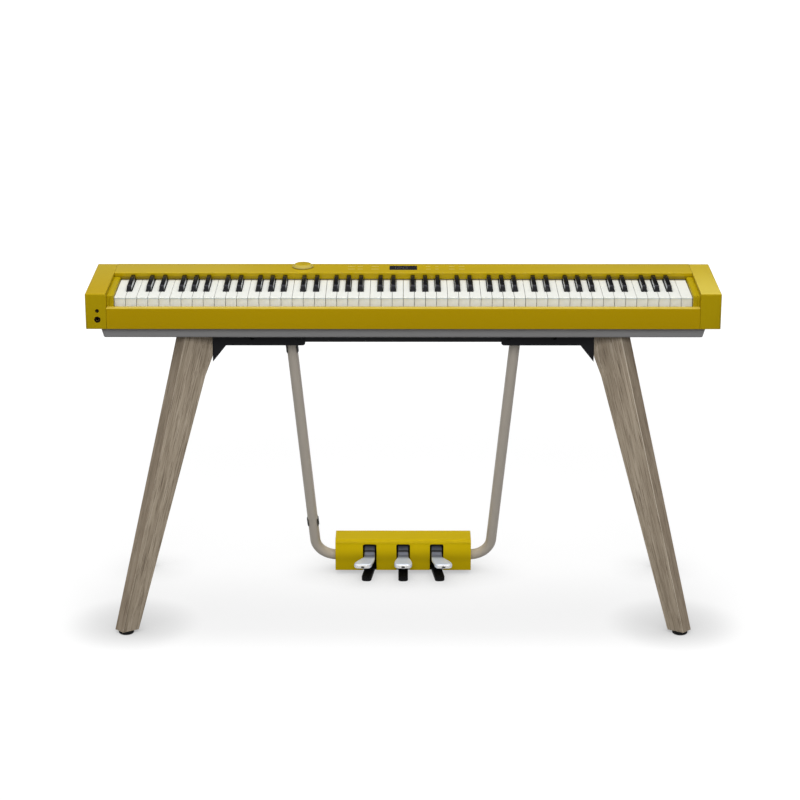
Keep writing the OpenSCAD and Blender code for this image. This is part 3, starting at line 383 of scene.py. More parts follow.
def card(name, start, stop, shade, slant=0):
    """Part of the ring, between two compass angles in degrees; +Y is 0 and +X is 90. Its last
    edge leans by the slant."""
    steps = max(2, round((stop - start) / CARD_STEP))
    points = []
    for i in range(steps + 1):
        for height, lean in ((CARD_LOW, 0), (CARD_HIGH, slant if i == steps else 0)):
            angle = math.radians(start + (stop - start) * i / steps + lean)
            points.append((CARD_R * math.sin(angle), CARD_R * math.cos(angle), height))
    faces = [(2 * i, 2 * i + 1, 2 * i + 3, 2 * i + 2) for i in range(steps)]
    mesh = bpy.data.meshes.new(name)
    mesh.from_pydata(points, [], faces)
    paint = Finish(name)
    paint.show(paint.add("ShaderNodeEmission", None, {"Color": (1, 1, 1, 1), "Strength": shade}))
    mesh.materials.append(paint.material)
    board = bpy.data.objects.new(name, mesh)
    scene.collection.objects.link(board)
    for rays in ("camera", "diffuse", "shadow", "transmission", "volume_scatter"):
        setattr(board, "visible_" + rays, False)


card("card_pale", start=-34, stop=-7, shade=0.2, slant=4)
card("card_dark", start=-7, stop=326, shade=0.09)
print("a ring of dark cards, seen only in reflections")

# %% [markdown]
# ## Colours
#
# Each finish is a function that builds its graph from patterns on the piece's own
# coordinates, so the pattern stays on the piece when a key or a pedal moves. Only colour,
# roughness and relief vary over a surface.
#
# The mustard covers come first. Some are sprayed in gloss. Several take a paler colour at
# the top: a painted sheen for the light that the top catches.

# %% Gloss covers
RIPPLE_DEPTH = 0.00003
# A painted sheen on a top starts and is complete at these marks below the part's highest point
TOP_SHEEN = (-0.0018, -0.0005)


def pale_top(paint, colour, part, pale):
    """Painted sheen: a paler colour at the top of a part, one at its rear and one at its front."""
    low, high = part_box(part)
    rear, front = pale
    # The paler colours are a painted sheen for the light on the top, not a colour of the paint
    sheen_colour = paint.blend(paint.step(paint.along("Y"), low.y, high.y), tint(front), tint(rear))
    return paint.blend(paint.edge(paint.along("Z"), high.z, TOP_SHEEN), colour, sheen_colour)


def sprayed(name, rough, gloss):
    """Sprayed paint, which keeps a ripple. The second result is its faint drift of colour."""
    paint = Finish(name)
    at = paint.place()
    ripple = paint.noise(at, 380)
    paint.set(Roughness=ripple * 0.06 + rough, Specular_IOR_Level=gloss)
    paint.bump(ripple, RIPPLE_DEPTH)
    return paint, paint.noise(at, 2.5, 1)


def gloss_cover(name, low, high, part=None, pale=None):
    paint, drift = sprayed(name, 0.2, 0.05)
    colour = paint.blend(drift, tint(low), tint(high))
    paint.set(Base_Color=pale_top(paint, colour, part, pale) if part else colour)
    return paint.material


cover_gloss = gloss_cover("mustard_gloss", "aa9408", "b0990a")
# The rail's paler top is a painted highlight
rail_gloss = gloss_cover("mustard_rail", "b29302", "b89803", "front_rail", ("c6ae40", "c6ae40"))
print("gloss covers done")

# %% Gloss panel
# The paler ends start and are complete this far from the middle
PANEL_ENDS = (0.12, 0.42)
# Marks below the top: where the drop face ends, and where the painted shadow at its foot does
DROP_TOP = (-0.0022, -0.0006)
DROP_FOOT = (-0.0095, -0.006)


def panel_finish():
    """Gloss panel, a little paler towards its ends. Its drop face is painted darker as shade,
    and darker still towards the ends at its foot by the keys, as a painted shadow."""
    paint, drift = sprayed("mustard_panel", 0.16, 0.12)
    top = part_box("top_panel")[1].z
    height = paint.along("Z")
    across = paint.along("X")
    ends = paint.step(across * across, *[x ** 2 for x in PANEL_ENDS])
    above = paint.blend(drift, tint("b49a0a"), tint("ba9f0e"))
    above = paint.blend(ends * 0.9, above, tint("bca324"))
    foot = 1 - paint.edge(height, top, DROP_FOOT)
    # Painted shade on the drop face, with painted shadow at its foot towards the ends
    drop = paint.blend(foot * ends, tint("b09606"), tint("88740c"))
    paint.set(Base_Color=paint.blend(paint.edge(height, top, DROP_TOP), drop, above))
    return paint.material


panel_gloss = panel_finish()
print("panel done")

# %% [markdown]
# The end blocks and the pedal box are moulded with a fine leathery grain, a smooth Voronoi
# pattern at the size of pores. Each block's top has a painted sheen of its own. The pedal box
# is painted bright below its shoulder as a highlight, and darker low on its front as shade.

# %% Textured covers
PORE_SCALE = 900.0
PORE_DEPTH = 0.00006
# Colours of each block's painted top sheen, at its rear and at its front; the bass end has less of it
BLOCK_TOPS = {"end_block_left": ("b49c28", "b29615"), "end_block_right": ("bda52d", "c9b546")}
box_lo, box_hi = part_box("pedal_cover")
# Marks above the box's foot: up to where its painted shade fades out, and where the deeper painted shade
# begins
SHADE_FADE = (0, 0.058)
DEEP_SHADE_RISE = (0.014, 0.034)
# Marks below the box's top, where the painted highlight ends
HIGHLIGHT_END = (-0.013, -0.006)
# How dark the painted shade gets above the foot, and at the foot
LOW_SHADE = 0.68
FOOT_SHADE = 0.19


def box_wear(paint, colour):
    """Painted light on the pedal box: a painted highlight below its shoulder, and painted shade
    under the bright part, with less of that shade at the foot."""
    height = paint.along("Z")
    unshaded = paint.edge(height, box_lo.z, SHADE_FADE)
    box_highlight = unshaded * (1 - paint.edge(height, box_hi.z, HIGHLIGHT_END))
    above_foot = paint.edge(height, box_lo.z, DEEP_SHADE_RISE)
    box_shade = (1 - unshaded) * LOW_SHADE * above_foot + (1 - above_foot) * FOOT_SHADE
    colour = paint.blend(box_highlight, colour, tint("efcf0c"))
    return paint.blend(box_shade, colour, tint("6e5c06"))


# A cover may take painted light: a function that is given the paint and its colour
def textured_cover(name, low, high, part, pale, painted_light=None):
    paint = Finish(name)
    at = paint.place()
    cell = {"Vector": at, "Scale": PORE_SCALE}
    pores = paint.add("ShaderNodeTexVoronoi", {"feature": "SMOOTH_F1"}, cell)
    drift = paint.noise(at, 3, 1)
    colour = pale_top(paint, paint.blend(drift, tint(low), tint(high)), part, pale)
    paint.set(
        Base_Color=painted_light(paint, colour) if painted_light else colour,
        Roughness=pores * 0.1 + 0.42,
        Specular_IOR_Level=0.07,
    )
    paint.bump(pores, PORE_DEPTH)
    return paint.material


block_textures = {
    name: textured_cover("mustard_" + name, "ae9504", "b49a06", name, tops)
    for name, tops in BLOCK_TOPS.items()
}
# The box's paler top is a painted sheen; its front takes painted highlight and shade
box_texture = textured_cover(
    "pedal_box_mustard", "d8ba04", "ddc006", "pedal_cover", ("dcbe06", "dcbe06"), box_wear)
print("textured covers done")

# %% [markdown]
# The naturals are satin resin, a little warm, with the faint brushing that keeps fingers
# dry. The moulded front is painted cooler against the rail's warm bounced light, and a
# painted shadow darkens the far end at the panel. The sharps are black resin with a fine
# grain like ebony, which runs along the key. A noise that is stretched along the key makes
# both patterns.

# %% White keys
# Marks behind the key's front and below its top, where the front's painted cooler tint ends
FRONT_END = (0.0002, 0.001)
FRONT_TOP = (-0.0016, -0.0008)
# Marks in front of the panel, where the painted shadow begins and is complete
KEY_SHADOW = (-0.009, -0.003)


def natural_finish():
    paint = Finish("key_white")
    brushing = paint.noise(paint.place((1, 0.05, 1)), 1400, 3)
    lo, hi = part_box("key_c4")
    reach = paint.along("Y")
    front = (1 - paint.edge(reach, lo.y, FRONT_END)) * (1 - paint.edge(paint.along("Z"), hi.z, FRONT_TOP))
    panel_shadow = paint.edge(reach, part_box("top_panel")[0].y, KEY_SHADOW)
    resin = paint.blend(brushing, tint("e7e8e1"), tint("ecede7"))
    # The front is painted cooler, against the warm light bounced onto it
    resin = paint.blend(front, resin, tint("d6e6f2"))
    # Painted shadow darkens the keys where they run in under the panel
    paint.set(
        Base_Color=paint.blend(panel_shadow * 0.8, resin, tint("86783c")),
        Roughness=brushing * 0.12 + 0.26,
        Specular_IOR_Level=0.35,
    )
    paint.bump(brushing, 0.00001)
    return paint.material


key_white = natural_finish()
print("white keys done")

# %% Black keys
# Marks behind the key's front: the nose painted lighter, the painted highlight at the bend above it, and
# the flank's painted sheen
NOSE_END = (0.005, 0.008)
BEND = (0.004, 0.007, 0.010, 0.017)
SHEEN_ALONG = (0.004, 0.012, 0.050, 0.085)
# Marks of the flank's painted sheen below the key's top
SHEEN_UP = (-0.0095, -0.006, -0.0024, -0.001)


def sharp_finish(name, flank):
    """The nose is painted lighter, and the bend above it carries a painted highlight. On the
    flank, for which flank is 1, a pale painted sheen stands for a reflection."""
    paint = Finish(name)
    grain = paint.noise(paint.place((1, 0.08, 1)), 900, 4, 0.65)
    lo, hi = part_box("key_c_sharp4")
    reach = paint.along("Y")
    sheen = paint.band(paint.along("Z"), hi.z, SHEEN_UP) * paint.band(reach, lo.y, SHEEN_ALONG)
    colour = paint.blend(grain, tint("060608"), tint("0e0e11"))
    # Painted light: a lighter nose, and a highlight at the bend on the top
    colour = paint.blend(1 - paint.edge(reach, lo.y, NOSE_END), colour, tint("18181b"))
    colour = paint.blend(paint.band(reach, lo.y, BEND) * (1 - flank), colour, tint("34343a"))
    paint.set(
        Base_Color=paint.blend(sheen * flank, colour, tint("b4b9c0")),
        Roughness=grain * 0.1 + 0.2,
        Specular_IOR_Level=0.08,
    )
    paint.bump(grain, 0.00002)
    return paint.material


key_black = sharp_finish("key_black", 0)
key_flank = sharp_finish("key_black_flank", 1)
print("black keys done")

# %% [markdown]
# The bottom case, the steel, the pedal tubes, the black plastics and the rubber all have
# the same kind of surface: a small, even pebble over one flat colour. It comes from powder
# coat on metal and from a spark-eroded mould on plastic. One function makes them all, and
# they differ in colour, roughness, grain and gloss.

# %% Case, steel and tubes
def pebbled(name, low, high, rough, scale, depth, gloss):
    paint = Finish(name)
    paint.grain(paint.noise(paint.place(), scale, 3, 0.6), low, high, rough, 0.14, depth)
    paint.set(Specular_IOR_Level=gloss)
    return paint.material


case_grey = pebbled("case_grey", "929293", "9a9a9b", 0.5, 1100, 0.00005, 0.15)
black_steel = pebbled("black_steel", "1c1c1e", "222225", 0.4, 1600, 0.00003, 0.08)
beam_steel = pebbled("beam_steel", "2e2e30", "363638", 0.4, 1600, 0.00003, 0.08)
tube_paint = pebbled("tube_paint", "c8bfb2", "d0c7ba", 0.34, 1300, 0.00002, 0.4)
black_plastic = pebbled("black_plastic", "0e0e0f", "161617", 0.42, 1500, 0.00004, 0.15)
socket_black = pebbled("socket_black", "0d0602", "160c05", 0.5, 1500, 0.00003, 0.05)
foot_rubber = pebbled("foot_rubber", "0a0a0a", "131313", 0.6, 700, 0.00008, 0.12)
print("case, steel, tubes, plastic and rubber done")

# %% [markdown]
# Turned and brushed metal has long fine scratches, which spread the reflection one way. A
# noise that is drawn out along one axis gives them. The dial's rim and the pedals are
# plated, and their colour changes along the piece: the rim is darker towards its foot, and
# the pedals carry painted light and shade.

# %% Bright metal
SCRATCH_DEPTH = 0.00001
# Marks above the rim's foot, over which its darker plating ends
RIM_RISE = (0.0012, 0.005)
# Marks behind a pedal's tip: the lip ends, the neck's painted shade begins, and a painted shadow line
# crosses it
LIP_END = (0.0003, 0.0016)
NECK_SHADE_START = (0.034, 0.054)
NECK_SHADOW_LINE = (0.0625, 0.0645, 0.067, 0.069)


def brushed_metal(name, low, high, rough, stretch):
    paint = Finish(name)
    paint.grain(paint.noise(paint.place(stretch), 500, 4, 0.6), low, high, rough, 0.16, SCRATCH_DEPTH)
    paint.set(Metallic=1.0)
    return paint.material


def rim_finish():
    """Satin champagne plating on the dial's slope, darker towards its foot."""
    paint = Finish("rim_metal")
    scratch = paint.noise(paint.place((1, 1, 0.1)), 700, 3, 0.6)
    rise = paint.edge(paint.along("Z"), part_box("dial_rim")[0].z, RIM_RISE)
    edge_tone = paint.blend(scratch, tint("a1934e"), tint("ab9d58"))
    top = paint.blend(scratch, tint("b09d3e"), tint("baa84a"))
    paint.set(
        Base_Color=paint.blend(rise, edge_tone, top),
        Roughness=scratch * 0.12 + 0.38,
        Specular_IOR_Level=0.1,
    )
    paint.bump(scratch, SCRATCH_DEPTH)
    return paint.material


def pedal_finish():
    """Nickel plate: satin where the foot rubs it, and smoother on the rolled lip, which is also
    painted lighter as a highlight. The neck is painted dark as shade, and a painted shadow
    line crosses it."""
    paint = Finish("pedal_metal")
    scratch = paint.noise(paint.place((1, 0.08, 1)), 600, 4, 0.6)
    reach = paint.along("Y")
    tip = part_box("pedal_middle")[0].y
    lip = 1 - paint.edge(reach, tip, LIP_END)
    plate = paint.blend(scratch, tint("dde5f1"), tint("eaf0f8"))
    plate = paint.blend(lip, plate, tint("f2f2f0"))
    # Painted shade on the neck
    plate = paint.blend(paint.edge(reach, tip, NECK_SHADE_START), plate, tint("656873"))
    # A painted shadow line crosses the neck
    paint.set(
        Base_Color=paint.blend(paint.band(reach, tip, NECK_SHADOW_LINE), plate, tint("101012")),
        Metallic=0.35,
        Roughness=scratch * 0.14 + 0.34 - lip * 0.14,
    )
    paint.bump(scratch, SCRATCH_DEPTH)
    return paint.material


bright_steel = brushed_metal("bright_steel", "a9abad", "c4c6c8", 0.24, (0.04, 1, 1))
brass = brushed_metal("contact_brass", "a88a4a", "c9ab6a", 0.22, (1, 0.1, 1))
rim_metal = rim_finish()
pedal_metal = pedal_finish()
print("metals done")

# %% [markdown]
# Each leg is one length of oak, stained a cool grey and oiled. The grain runs down the
# leg, and the legs all slant, so a pattern on plain object coordinates would cut across
# them. Each leg carries a "grain" attribute instead: its own coordinates, with the third
# one along the leg. A second attribute, "arris", is 1 on the eased edges, which take a
# painted highlight, and -1 on the outer sides, which take a painted shade. One material
# then serves all four.

# %% Greyed oak
def oak_finish():
    paint = Finish("grey_oak")
    at = paint.add("ShaderNodeAttribute", {"attribute_name": "grain"}, out="Vector")
    wide = paint.add("ShaderNodeMapping", None, {"Vector": at, "Scale": (1, 1, 0.055)})
    narrow = paint.add("ShaderNodeMapping", None, {"Vector": at, "Scale": (1, 1, 0.022)})
    figure = paint.noise(wide, 90, 5, 0.68)
    pores = paint.noise(narrow, 620, 3, 0.7)
    pore_mask = paint.ramp(pores, [(0.36, (0, 0, 0, 1)), (0.5, (1, 1, 1, 1))])
    body = paint.ramp(figure, [
        (0.3, tint("8f826f")),
        (0.45, tint("a99b88")),
        (0.58, tint("bcae9a")),
        (0.72, tint("d0c4b1")),
    ])
    aged = paint.blend(paint.noise(wide, 22) * 0.5, body, tint("958774"))
    colour = paint.blend(pore_mask, tint("716353"), aged)
    arris = paint.add("ShaderNodeAttribute", {"attribute_name": "arris"}, out="Fac")
    # Painted highlight along the eased edges
    edge_tone = paint.step(arris, 0.4, 0.6) * paint.step(paint.noise(wide, 60, 3), 0.25, 0.5)
    # Painted shade on the outer sides
    outer_shade = 1 - paint.step(arris, -0.6, -0.4)
    colour = paint.blend(outer_shade * 0.4, colour, tint("7a6a58"))
    paint.set(
        Base_Color=paint.blend(edge_tone * 0.8, colour, tint("d8cdbb")),
        Roughness=figure * 0.16 + 0.5,
        Specular_IOR_Level=0.25,
    )
    paint.bump(pores, 0.00012, 0.7)
    return paint.material


grey_oak = oak_finish()
print("oak done")

# %% [markdown]
# The rest is small: dark glass over the display and its lit segments, the ink of the
# touch marks, the circuit boards and the red felt that stops the keys.

# %% Display, boards and felt
def display_finish():
    """Dark glass, with the finest smear in its gloss."""
    paint = Finish("display_glass")
    paint.grain(paint.noise(paint.place(), 40, 3), "060608", "0d0e10", 0.08, 0.04)
    paint.set(Specular_IOR_Level=0.35)
    return paint.material


def glowing_mark():
    """Lit segments: the same all over but for a slight unevenness of the backlight."""
    paint = Finish("display_segments")
    uneven = paint.noise(paint.place(), 200, 1)
    glow = paint.blend(uneven, tint("9aa0a3"), tint("c5cacc"))
    paint.set(Base_Color=tint("38342f"), Emission_Color=glow, Emission_Strength=0.04, Roughness=0.4)
    return paint.material


def printed_mark():
    """A pale ink printed on the panel, a little broken at its edges."""
    paint = Finish("touch_print")
    paint.grain(paint.noise(paint.place(), 2600), "c2ae56", "cdba6a", 0.45, 0.1)
    return paint.material


def board_finish():
    """Circuit board: copper tracks under green lacquer show as a finer, paler grid."""
    paint = Finish("circuit_board")
    tracks = {"Vector": paint.place(), "Scale": 260.0, "Mortar Size": 0.12}
    grid = paint.add("ShaderNodeTexBrick", None, tracks, out="Fac")
    paint.grain(grid, "123f26", "2f6b42", 0.35, relief=0.00004)
    return paint.material


def felt_finish():
    """Red stop felt: matted fibres, with no gloss at all."""
    paint = Finish("stop_felt")
    paint.grain(paint.noise(paint.place(), 1500, 5, 0.7), "5f1013", "a02428", 0.95, relief=0.0003)
    return paint.material


display_glass = display_finish()
display_segments = glowing_mark()
touch_print = printed_mark()
circuit_board = board_finish()
stop_felt = felt_finish()
print("glass, print, board and felt done")

# %% [markdown]
# ## The parts that keep their own mesh
#
# The frame's meshes already have the right shape and smooth normals. Parts that show
# little, such as boards, rods and tubes, only take a better finish.

# %% Finish every part of the frame
slot_finish = {
    "mustard_cover": cover_gloss,
    "case_grey": case_grey,
    "display_black": display_glass,
    "rim_metal": rim_metal,
    "bright_steel": bright_steel,
    "circuit_board": circuit_board,
    "black_plastic": black_plastic,
    "felt": stop_felt,
    "key_white": key_white,
    "key_black": key_black,
    "leg_wood": grey_oak,
    "foot_rubber": foot_rubber,
    "black_steel": black_steel,
    "tube_paint": tube_paint,
    "pedal_metal": pedal_metal,
}
# Parts whose finish isn't the one of their slot
part_finish = {
    **block_textures,
    "pedal_cover": box_texture,
    "top_panel": panel_gloss,
    "dial_knob": panel_gloss,
    "front_rail": rail_gloss,
    "cross_beam": beam_steel,
    "headphone_sockets": socket_black,
}
slot_of = {part["node"]: part["material_slot"] for part in frame["record"]["subparts"]}
body_of = {name: body for body, names in frame["record"]["behaviour"]["bodies"].items() for name in names}

for name, part in nodes.items():
    part.data.materials.clear()
    part.data.materials.append(part_finish.get(name, slot_finish[slot_of[name]]))
print(len(nodes), "parts have a finish,", len(part_finish), "of them one of their own")

# %% [markdown]
# ## Rounded edges
#
# No real edge is perfectly sharp, and it is the thin highlight along an edge that makes a
# cover look moulded. The frame's meshes are loose triangles, so a copy is welded first and
# its flat areas become single faces. A Bevel modifier then rounds only what is sharper
# than a given angle, and the result is kept as a plain mesh.

# %% Helpers that copy and soften a part
WELD_REACH = 0.000002
FLAT_ANGLE = math.radians(0.4)


def weld(name, reach=WELD_REACH):
    """A welded copy of a part's mesh, with flat areas as single faces."""
    shape = bmesh.new()
    shape.from_mesh(nodes[name].data)
    bmesh.ops.remove_doubles(shape, verts=shape.verts, dist=reach)
    bmesh.ops.dissolve_limit(shape, angle_limit=FLAT_ANGLE, verts=shape.verts, edges=shape.edges)
    return mesh_of(name, shape)


def new_piece(name, mesh, finish=None):
    piece = bpy.data.objects.new(name, mesh)
    scene.collection.objects.link(piece)
    if finish:
        mesh.materials.clear()
        mesh.materials.append(finish)
    return piece


def bake_modifiers(piece):
    """Keeps what the modifiers make as a plain mesh, and removes them."""
    graph = bpy.context.evaluated_depsgraph_get()
    mesh = bpy.data.meshes.new_from_object(piece.evaluated_get(graph))
    piece.modifiers.clear()
    piece.data = mesh


def smooth(mesh, angle=40):
    """Smooth shading, broken where two faces meet at more than the angle."""
    for face in mesh.polygons:
        face.use_smooth = True
    mesh.set_sharp_from_angle(angle=math.radians(angle))


def round_edges(piece, radius, segments, angle):
    """Adds a bevel on every edge that is sharper than the angle."""
    bevel = piece.modifiers.new("round", "BEVEL")
    bevel.width = radius
    bevel.segments = segments
    bevel.limit_method = "ANGLE"
    bevel.angle_limit = math.radians(angle)
    bevel.use_clamp_overlap = True
    bevel.harden_normals = True


def stand_for(piece, name):
    """The piece takes a part's place on the same body, and the part is hidden."""
    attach(piece, body_of[name])
    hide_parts(name)


def soften(name, radius, segments=2, angle=30, reach=WELD_REACH):
    """A copy of a part with rounded edges, which stands for it."""
    piece = new_piece("soft_" + name, weld(name, reach), nodes[name].data.materials[0])
    smooth(piece.data)
    round_edges(piece, radius, segments, angle)
    bake_modifiers(piece)
    stand_for(piece, name)
    print(name, len(piece.data.polygons), "faces")
    return piece


print("copy helpers ready")

# %% Soften the covers and the stand
EDGES = {
    "end_block_left": 0.0004, "end_block_right": 0.0004,
    "key_cheek_left": 0.0005, "key_cheek_right": 0.0005,
    "front_rail": 0.0004, "top_panel": 0.0005, "rear_cover": 0.0005,
    "speaker_grilles": 0.0004, "display_window": 0.0002,
    "bracket_left": 0.0005, "bracket_right": 0.0005, "cross_beam": 0.0006,
    "pedal_cover": 0.0004, "pedal_base": 0.0005, "pedal_feet": 0.0008,
    "cable_clips": 0.0003, "dial_knob": 0.0003, "dial_rim": 0.0003,
}
softened = {name: soften(name, radius) for name, radius in EDGES.items()}
print(len(softened), "parts have rounded edges")

# %% [markdown]
# The inner faces of the pedal box and the far edge of its slots take black plastic, as
# painted shade that keeps the slots dark. A second material on the same piece does this.

# %% Black inside of the pedal box
# Faces this close to the box's ends keep the mustard
BLACK_INSET = 0.0012
# A face belongs to the outside when it looks away from the box's middle by more than this
OUTWARD = 0.002
cover = softened["pedal_cover"]
cover.data.materials.append(black_plastic)
box_middle = (box_lo + box_hi) / 2
inside = 0
for face in cover.data.polygons:
    out = face.center - box_middle
    out.x = 0
    if face.normal.dot(out) < OUTWARD and abs(face.center.x) < box_hi.x - BLACK_INSET:
        face.material_index = 1
        inside += 1
print(inside, "faces inside the pedal box are black")

# %% [markdown]
# Fingers slide over the sharps, so their edges are twice as round as those of the naturals.
# Their flanks take a finish of their own, chosen by the way that each face looks.

# %% Soften the keys
KEY_EDGES = {"key_white": 0.0004, "key_black": 0.0008}
FLANK_FACING = 0.8
keys = {name: slot for name, slot in slot_of.items() if slot in KEY_EDGES}
for name, slot in keys.items():
    piece = soften(name, KEY_EDGES[slot])
    if slot == "key_black":
        piece.data.materials.append(key_flank)
        for face in piece.data.polygons:
            face.material_index = int(abs(face.normal.x) > FLANK_FACING)
print(len(keys), "key parts have rounded edges")

# %% [markdown]
# ## Legs
#
# Each leg is planed to a ridge along its front and its arrises are eased by hand. Its
# grain attribute is worked out from the leg itself: the line from the middle of its top to
# the middle of its foot is the third axis. The arris attribute marks the narrow faces that
# the bevel made, and the outer sides.

# %% Legs
LEGS = ("leg_front_left", "leg_front_right", "leg_rear_left", "leg_rear_right")
LEG_EASE = 0.003
LEG_WELD = 0.00003
# Moves the grain from leg to leg, so that no two look cut from one place
GRAIN_SHIFT = Vector((0.31, 0.17, 1.3))


def grain_axes(mesh):
    """Turns the frame's axes so that the third lies along the leg."""
    points = np.array([v.co for v in mesh.vertices])
    high = points[points[:, 2] > points[:, 2].max() - 0.001].mean(0)
    low = points[points[:, 2] < points[:, 2].min() + 0.001].mean(0)
    along = Vector(high - low).normalized()
    return along.to_track_quat("Z", "Y").to_matrix().inverted()


def eased_faces(mesh, side):
    """1 for each narrow face that the bevel made, -1 for each outer face, 0 for the others."""
    marks = []
    for face in mesh.polygons:
        corners = [mesh.vertices[i].co for i in face.vertices]
        sides = sorted((a - b).length for a, b in zip(corners, corners[1:] + corners[:1]))
        outer = -1.0 if face.normal.x * side > 0.5 else 0.0
        marks.append(1.0 if len(sides) == 4 and sides[1] < LEG_EASE else outer)
    return marks


for number, name in enumerate(LEGS):
    mesh = soften(name, LEG_EASE, segments=3, angle=20, reach=LEG_WELD).data
    turn = grain_axes(mesh)
    shift = GRAIN_SHIFT * number
    grain = mesh.attributes.new("grain", "FLOAT_VECTOR", "POINT")
    grain.data.foreach_set("vector", [c for v in mesh.vertices for c in turn @ v.co + shift])
    arris = mesh.attributes.new("arris", "FLOAT", "FACE")
    arris.data.foreach_set("value", eased_faces(mesh, 1 if name.endswith("right") else -1))
print(len(LEGS), "legs carry their grain")

# %% [markdown]
# ## Pedals
#
# A real pedal is a thick nickel-plated bar: a broad paddle with a rolled lip, shoulders
# that draw in to a narrow neck, and an arm that rises to a hub on the shaft. Its section
# changes all along, so it is lofted: round-cornered sections are placed one behind the
# other from the tip backwards, and joined by faces. The side pedals sweep outwards. The
# sizes are those of the pedal in the frame, and so are the tip and the shaft.

# %% Sections and lofts
CORNER_STEPS = 4


def round_section(centre_x, y, low, high, half, upper, lower):
    """Points round a rectangle in the XZ plane, with corner radii for its top and its foot."""
    corners = ((1, high, -1, upper), (-1, high, -1, upper), (-1, low, 1, lower), (1, low, 1, lower))
    points = []
    for turn, (side, edge, inward, corner) in enumerate(corners):
        corner = min(corner, (high - low) * 0.49)
        middle_x = centre_x + side * (half - corner)
        middle_z = edge + inward * corner
        for i in range(CORNER_STEPS + 1):
            angle = math.radians(90) * (turn + i / CORNER_STEPS)
            points.append((middle_x + corner * math.cos(angle), y, middle_z + corner * math.sin(angle)))
    return points


def circle(count):
    """Cosine and sine of points that lie evenly round a circle."""
    angles = [2 * math.pi * i / count for i in range(count)]
    return [(math.cos(a), math.sin(a)) for a in angles]


def loft(sections):
    """A closed shape through sections that all have the same number of points."""
    count = len(sections[0])
    points = [p for section in sections for p in section]
    faces = []
    for k in range(len(sections) - 1):
        for i in range(count):
            a, b = k * count + i, k * count + (i + 1) % count
            faces.append((a, b, b + count, a + count))
    faces.append(tuple(range(count)))
    faces.append(tuple(range(len(points) - count, len(points))))
    shape = bmesh.new()
    verts = [shape.verts.new(p) for p in points]
    for face in faces:
        shape.faces.new([verts[i] for i in face])
    bmesh.ops.remove_doubles(shape, verts=shape.verts, dist=0.000001)
    bmesh.ops.recalc_face_normals(shape, faces=shape.faces)
    return shape


def join(shape, other):
    """Adds another shape's faces to a shape, and frees the other."""
    mesh = mesh_of("joined", other)
    shape.from_mesh(mesh)
    bpy.data.meshes.remove(mesh)


print("sections and lofts ready")

# %% Shape of a pedal
PADDLE_HALF = 0.020
NECK_HALF = 0.012
NOSE = 0.009
PEDAL_REACH = 0.069
WAIST = PEDAL_REACH - 0.014
PLATE = 0.006
UPPER_CORNER = 0.0022
# The rolled lip, the groove across its top, and where it and its large corners run out
LIP_DROP = 0.010
LIP_ROUND = 0.003
LIP_CORNER = 0.0046
LIP_RUN_OUT = (0.008, 0.014)
CORNER_RUN_OUT = (0.006, 0.012)
GROOVE_AT = 0.0036
GROOVE_HALF = 0.0009
GROOVE_DEPTH = 0.0008
# The arm's rise, the height of its top over the shaft, and its underside's share of the rise
ARM_RISE = (PEDAL_REACH - 0.018, PEDAL_REACH + 0.012)
ARM_OVER_SHAFT = 0.010
UNDER_RISE = 0.66
# How far and over what length a side pedal sweeps outwards
FLARE = 0.015
FLARE_ALONG = (0.002, 0.056)
# Sections stand close together over the lip, and evenly behind it. The last one ends the
# bar 4 mm in front of the hub, inside the box
LIP_SECTIONS = (0, 0.0003, 0.0008, 0.0016, 0.0027, 0.0032, 0.0036, 0.004, 0.0045, 0.006, 0.009, 0.0115)
EVEN_SECTIONS = [0.014 + 0.004 * i for i in range(24)]

shaft_lo, shaft_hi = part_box("pedal_shaft")
SHAFT_Y = (shaft_lo.y + shaft_hi.y) / 2
SHAFT_Z = (shaft_lo.z + shaft_hi.z) / 2
TIP_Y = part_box("pedal_middle")[0].y
TIP_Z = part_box("pedal_middle")[0].z
PADDLE_TOP = TIP_Z + LIP_DROP


def half_width(s):
    """Half the pedal's width at a distance from its tip."""
    if s < NOSE:
        return PADDLE_HALF - NOSE + math.sqrt(NOSE ** 2 - (NOSE - s) ** 2)
    if s < WAIST:
        share = ((s - NOSE) / (WAIST - NOSE)) ** 1.3
        return NECK_HALF + (PADDLE_HALF - NECK_HALF) * (0.5 + 0.5 * math.cos(math.pi * share))
    return NECK_HALF


def ease(value, low, high):
    share = min(1, max(0, (value - low) / (high - low)))
    return share * share * (3 - 2 * share)


def sweep(s):
    """How far a side pedal has swung outwards at a distance from its tip."""
    return FLARE * (1 - ease(s, *FLARE_ALONG))


def height(s):
    """Lowest and highest point of the pedal at a distance from its tip."""
    round_off = LIP_ROUND - math.sqrt(max(0, LIP_ROUND ** 2 - (LIP_ROUND - min(s, LIP_ROUND)) ** 2))
    groove = GROOVE_DEPTH * max(0, 1 - abs(s - GROOVE_AT) / GROOVE_HALF)
    rise = ease(s, *ARM_RISE) * (SHAFT_Z + ARM_OVER_SHAFT - PADDLE_TOP)
    top = PADDLE_TOP + rise - round_off - groove
    under = PADDLE_TOP - PLATE + rise * UNDER_RISE
    lip = TIP_Z + round_off
    return lip + (under - lip) * ease(s, *LIP_RUN_OUT), top


def pedal_shape(side, centre_x):
    sections = []
    for s in [*LIP_SECTIONS, *EVEN_SECTIONS]:
        low, high = height(s)
        at = centre_x + side * sweep(s)
        lower = LIP_CORNER - (LIP_CORNER - UPPER_CORNER) * ease(s, *CORNER_RUN_OUT)
        sections.append(round_section(at, TIP_Y + s, low, high, half_width(s), UPPER_CORNER, lower))
    return loft(sections)


print("shaft", round(SHAFT_Y - TIP_Y, 4), "m behind the tip, bar", round(EVEN_SECTIONS[-1], 4), "m long")

# %% [markdown]
# The hub is a short tube on the shaft, chamfered at both ends. The oval head of a rivet
# sits in the middle of the lip. One is a loft through circles, the other through ovals.

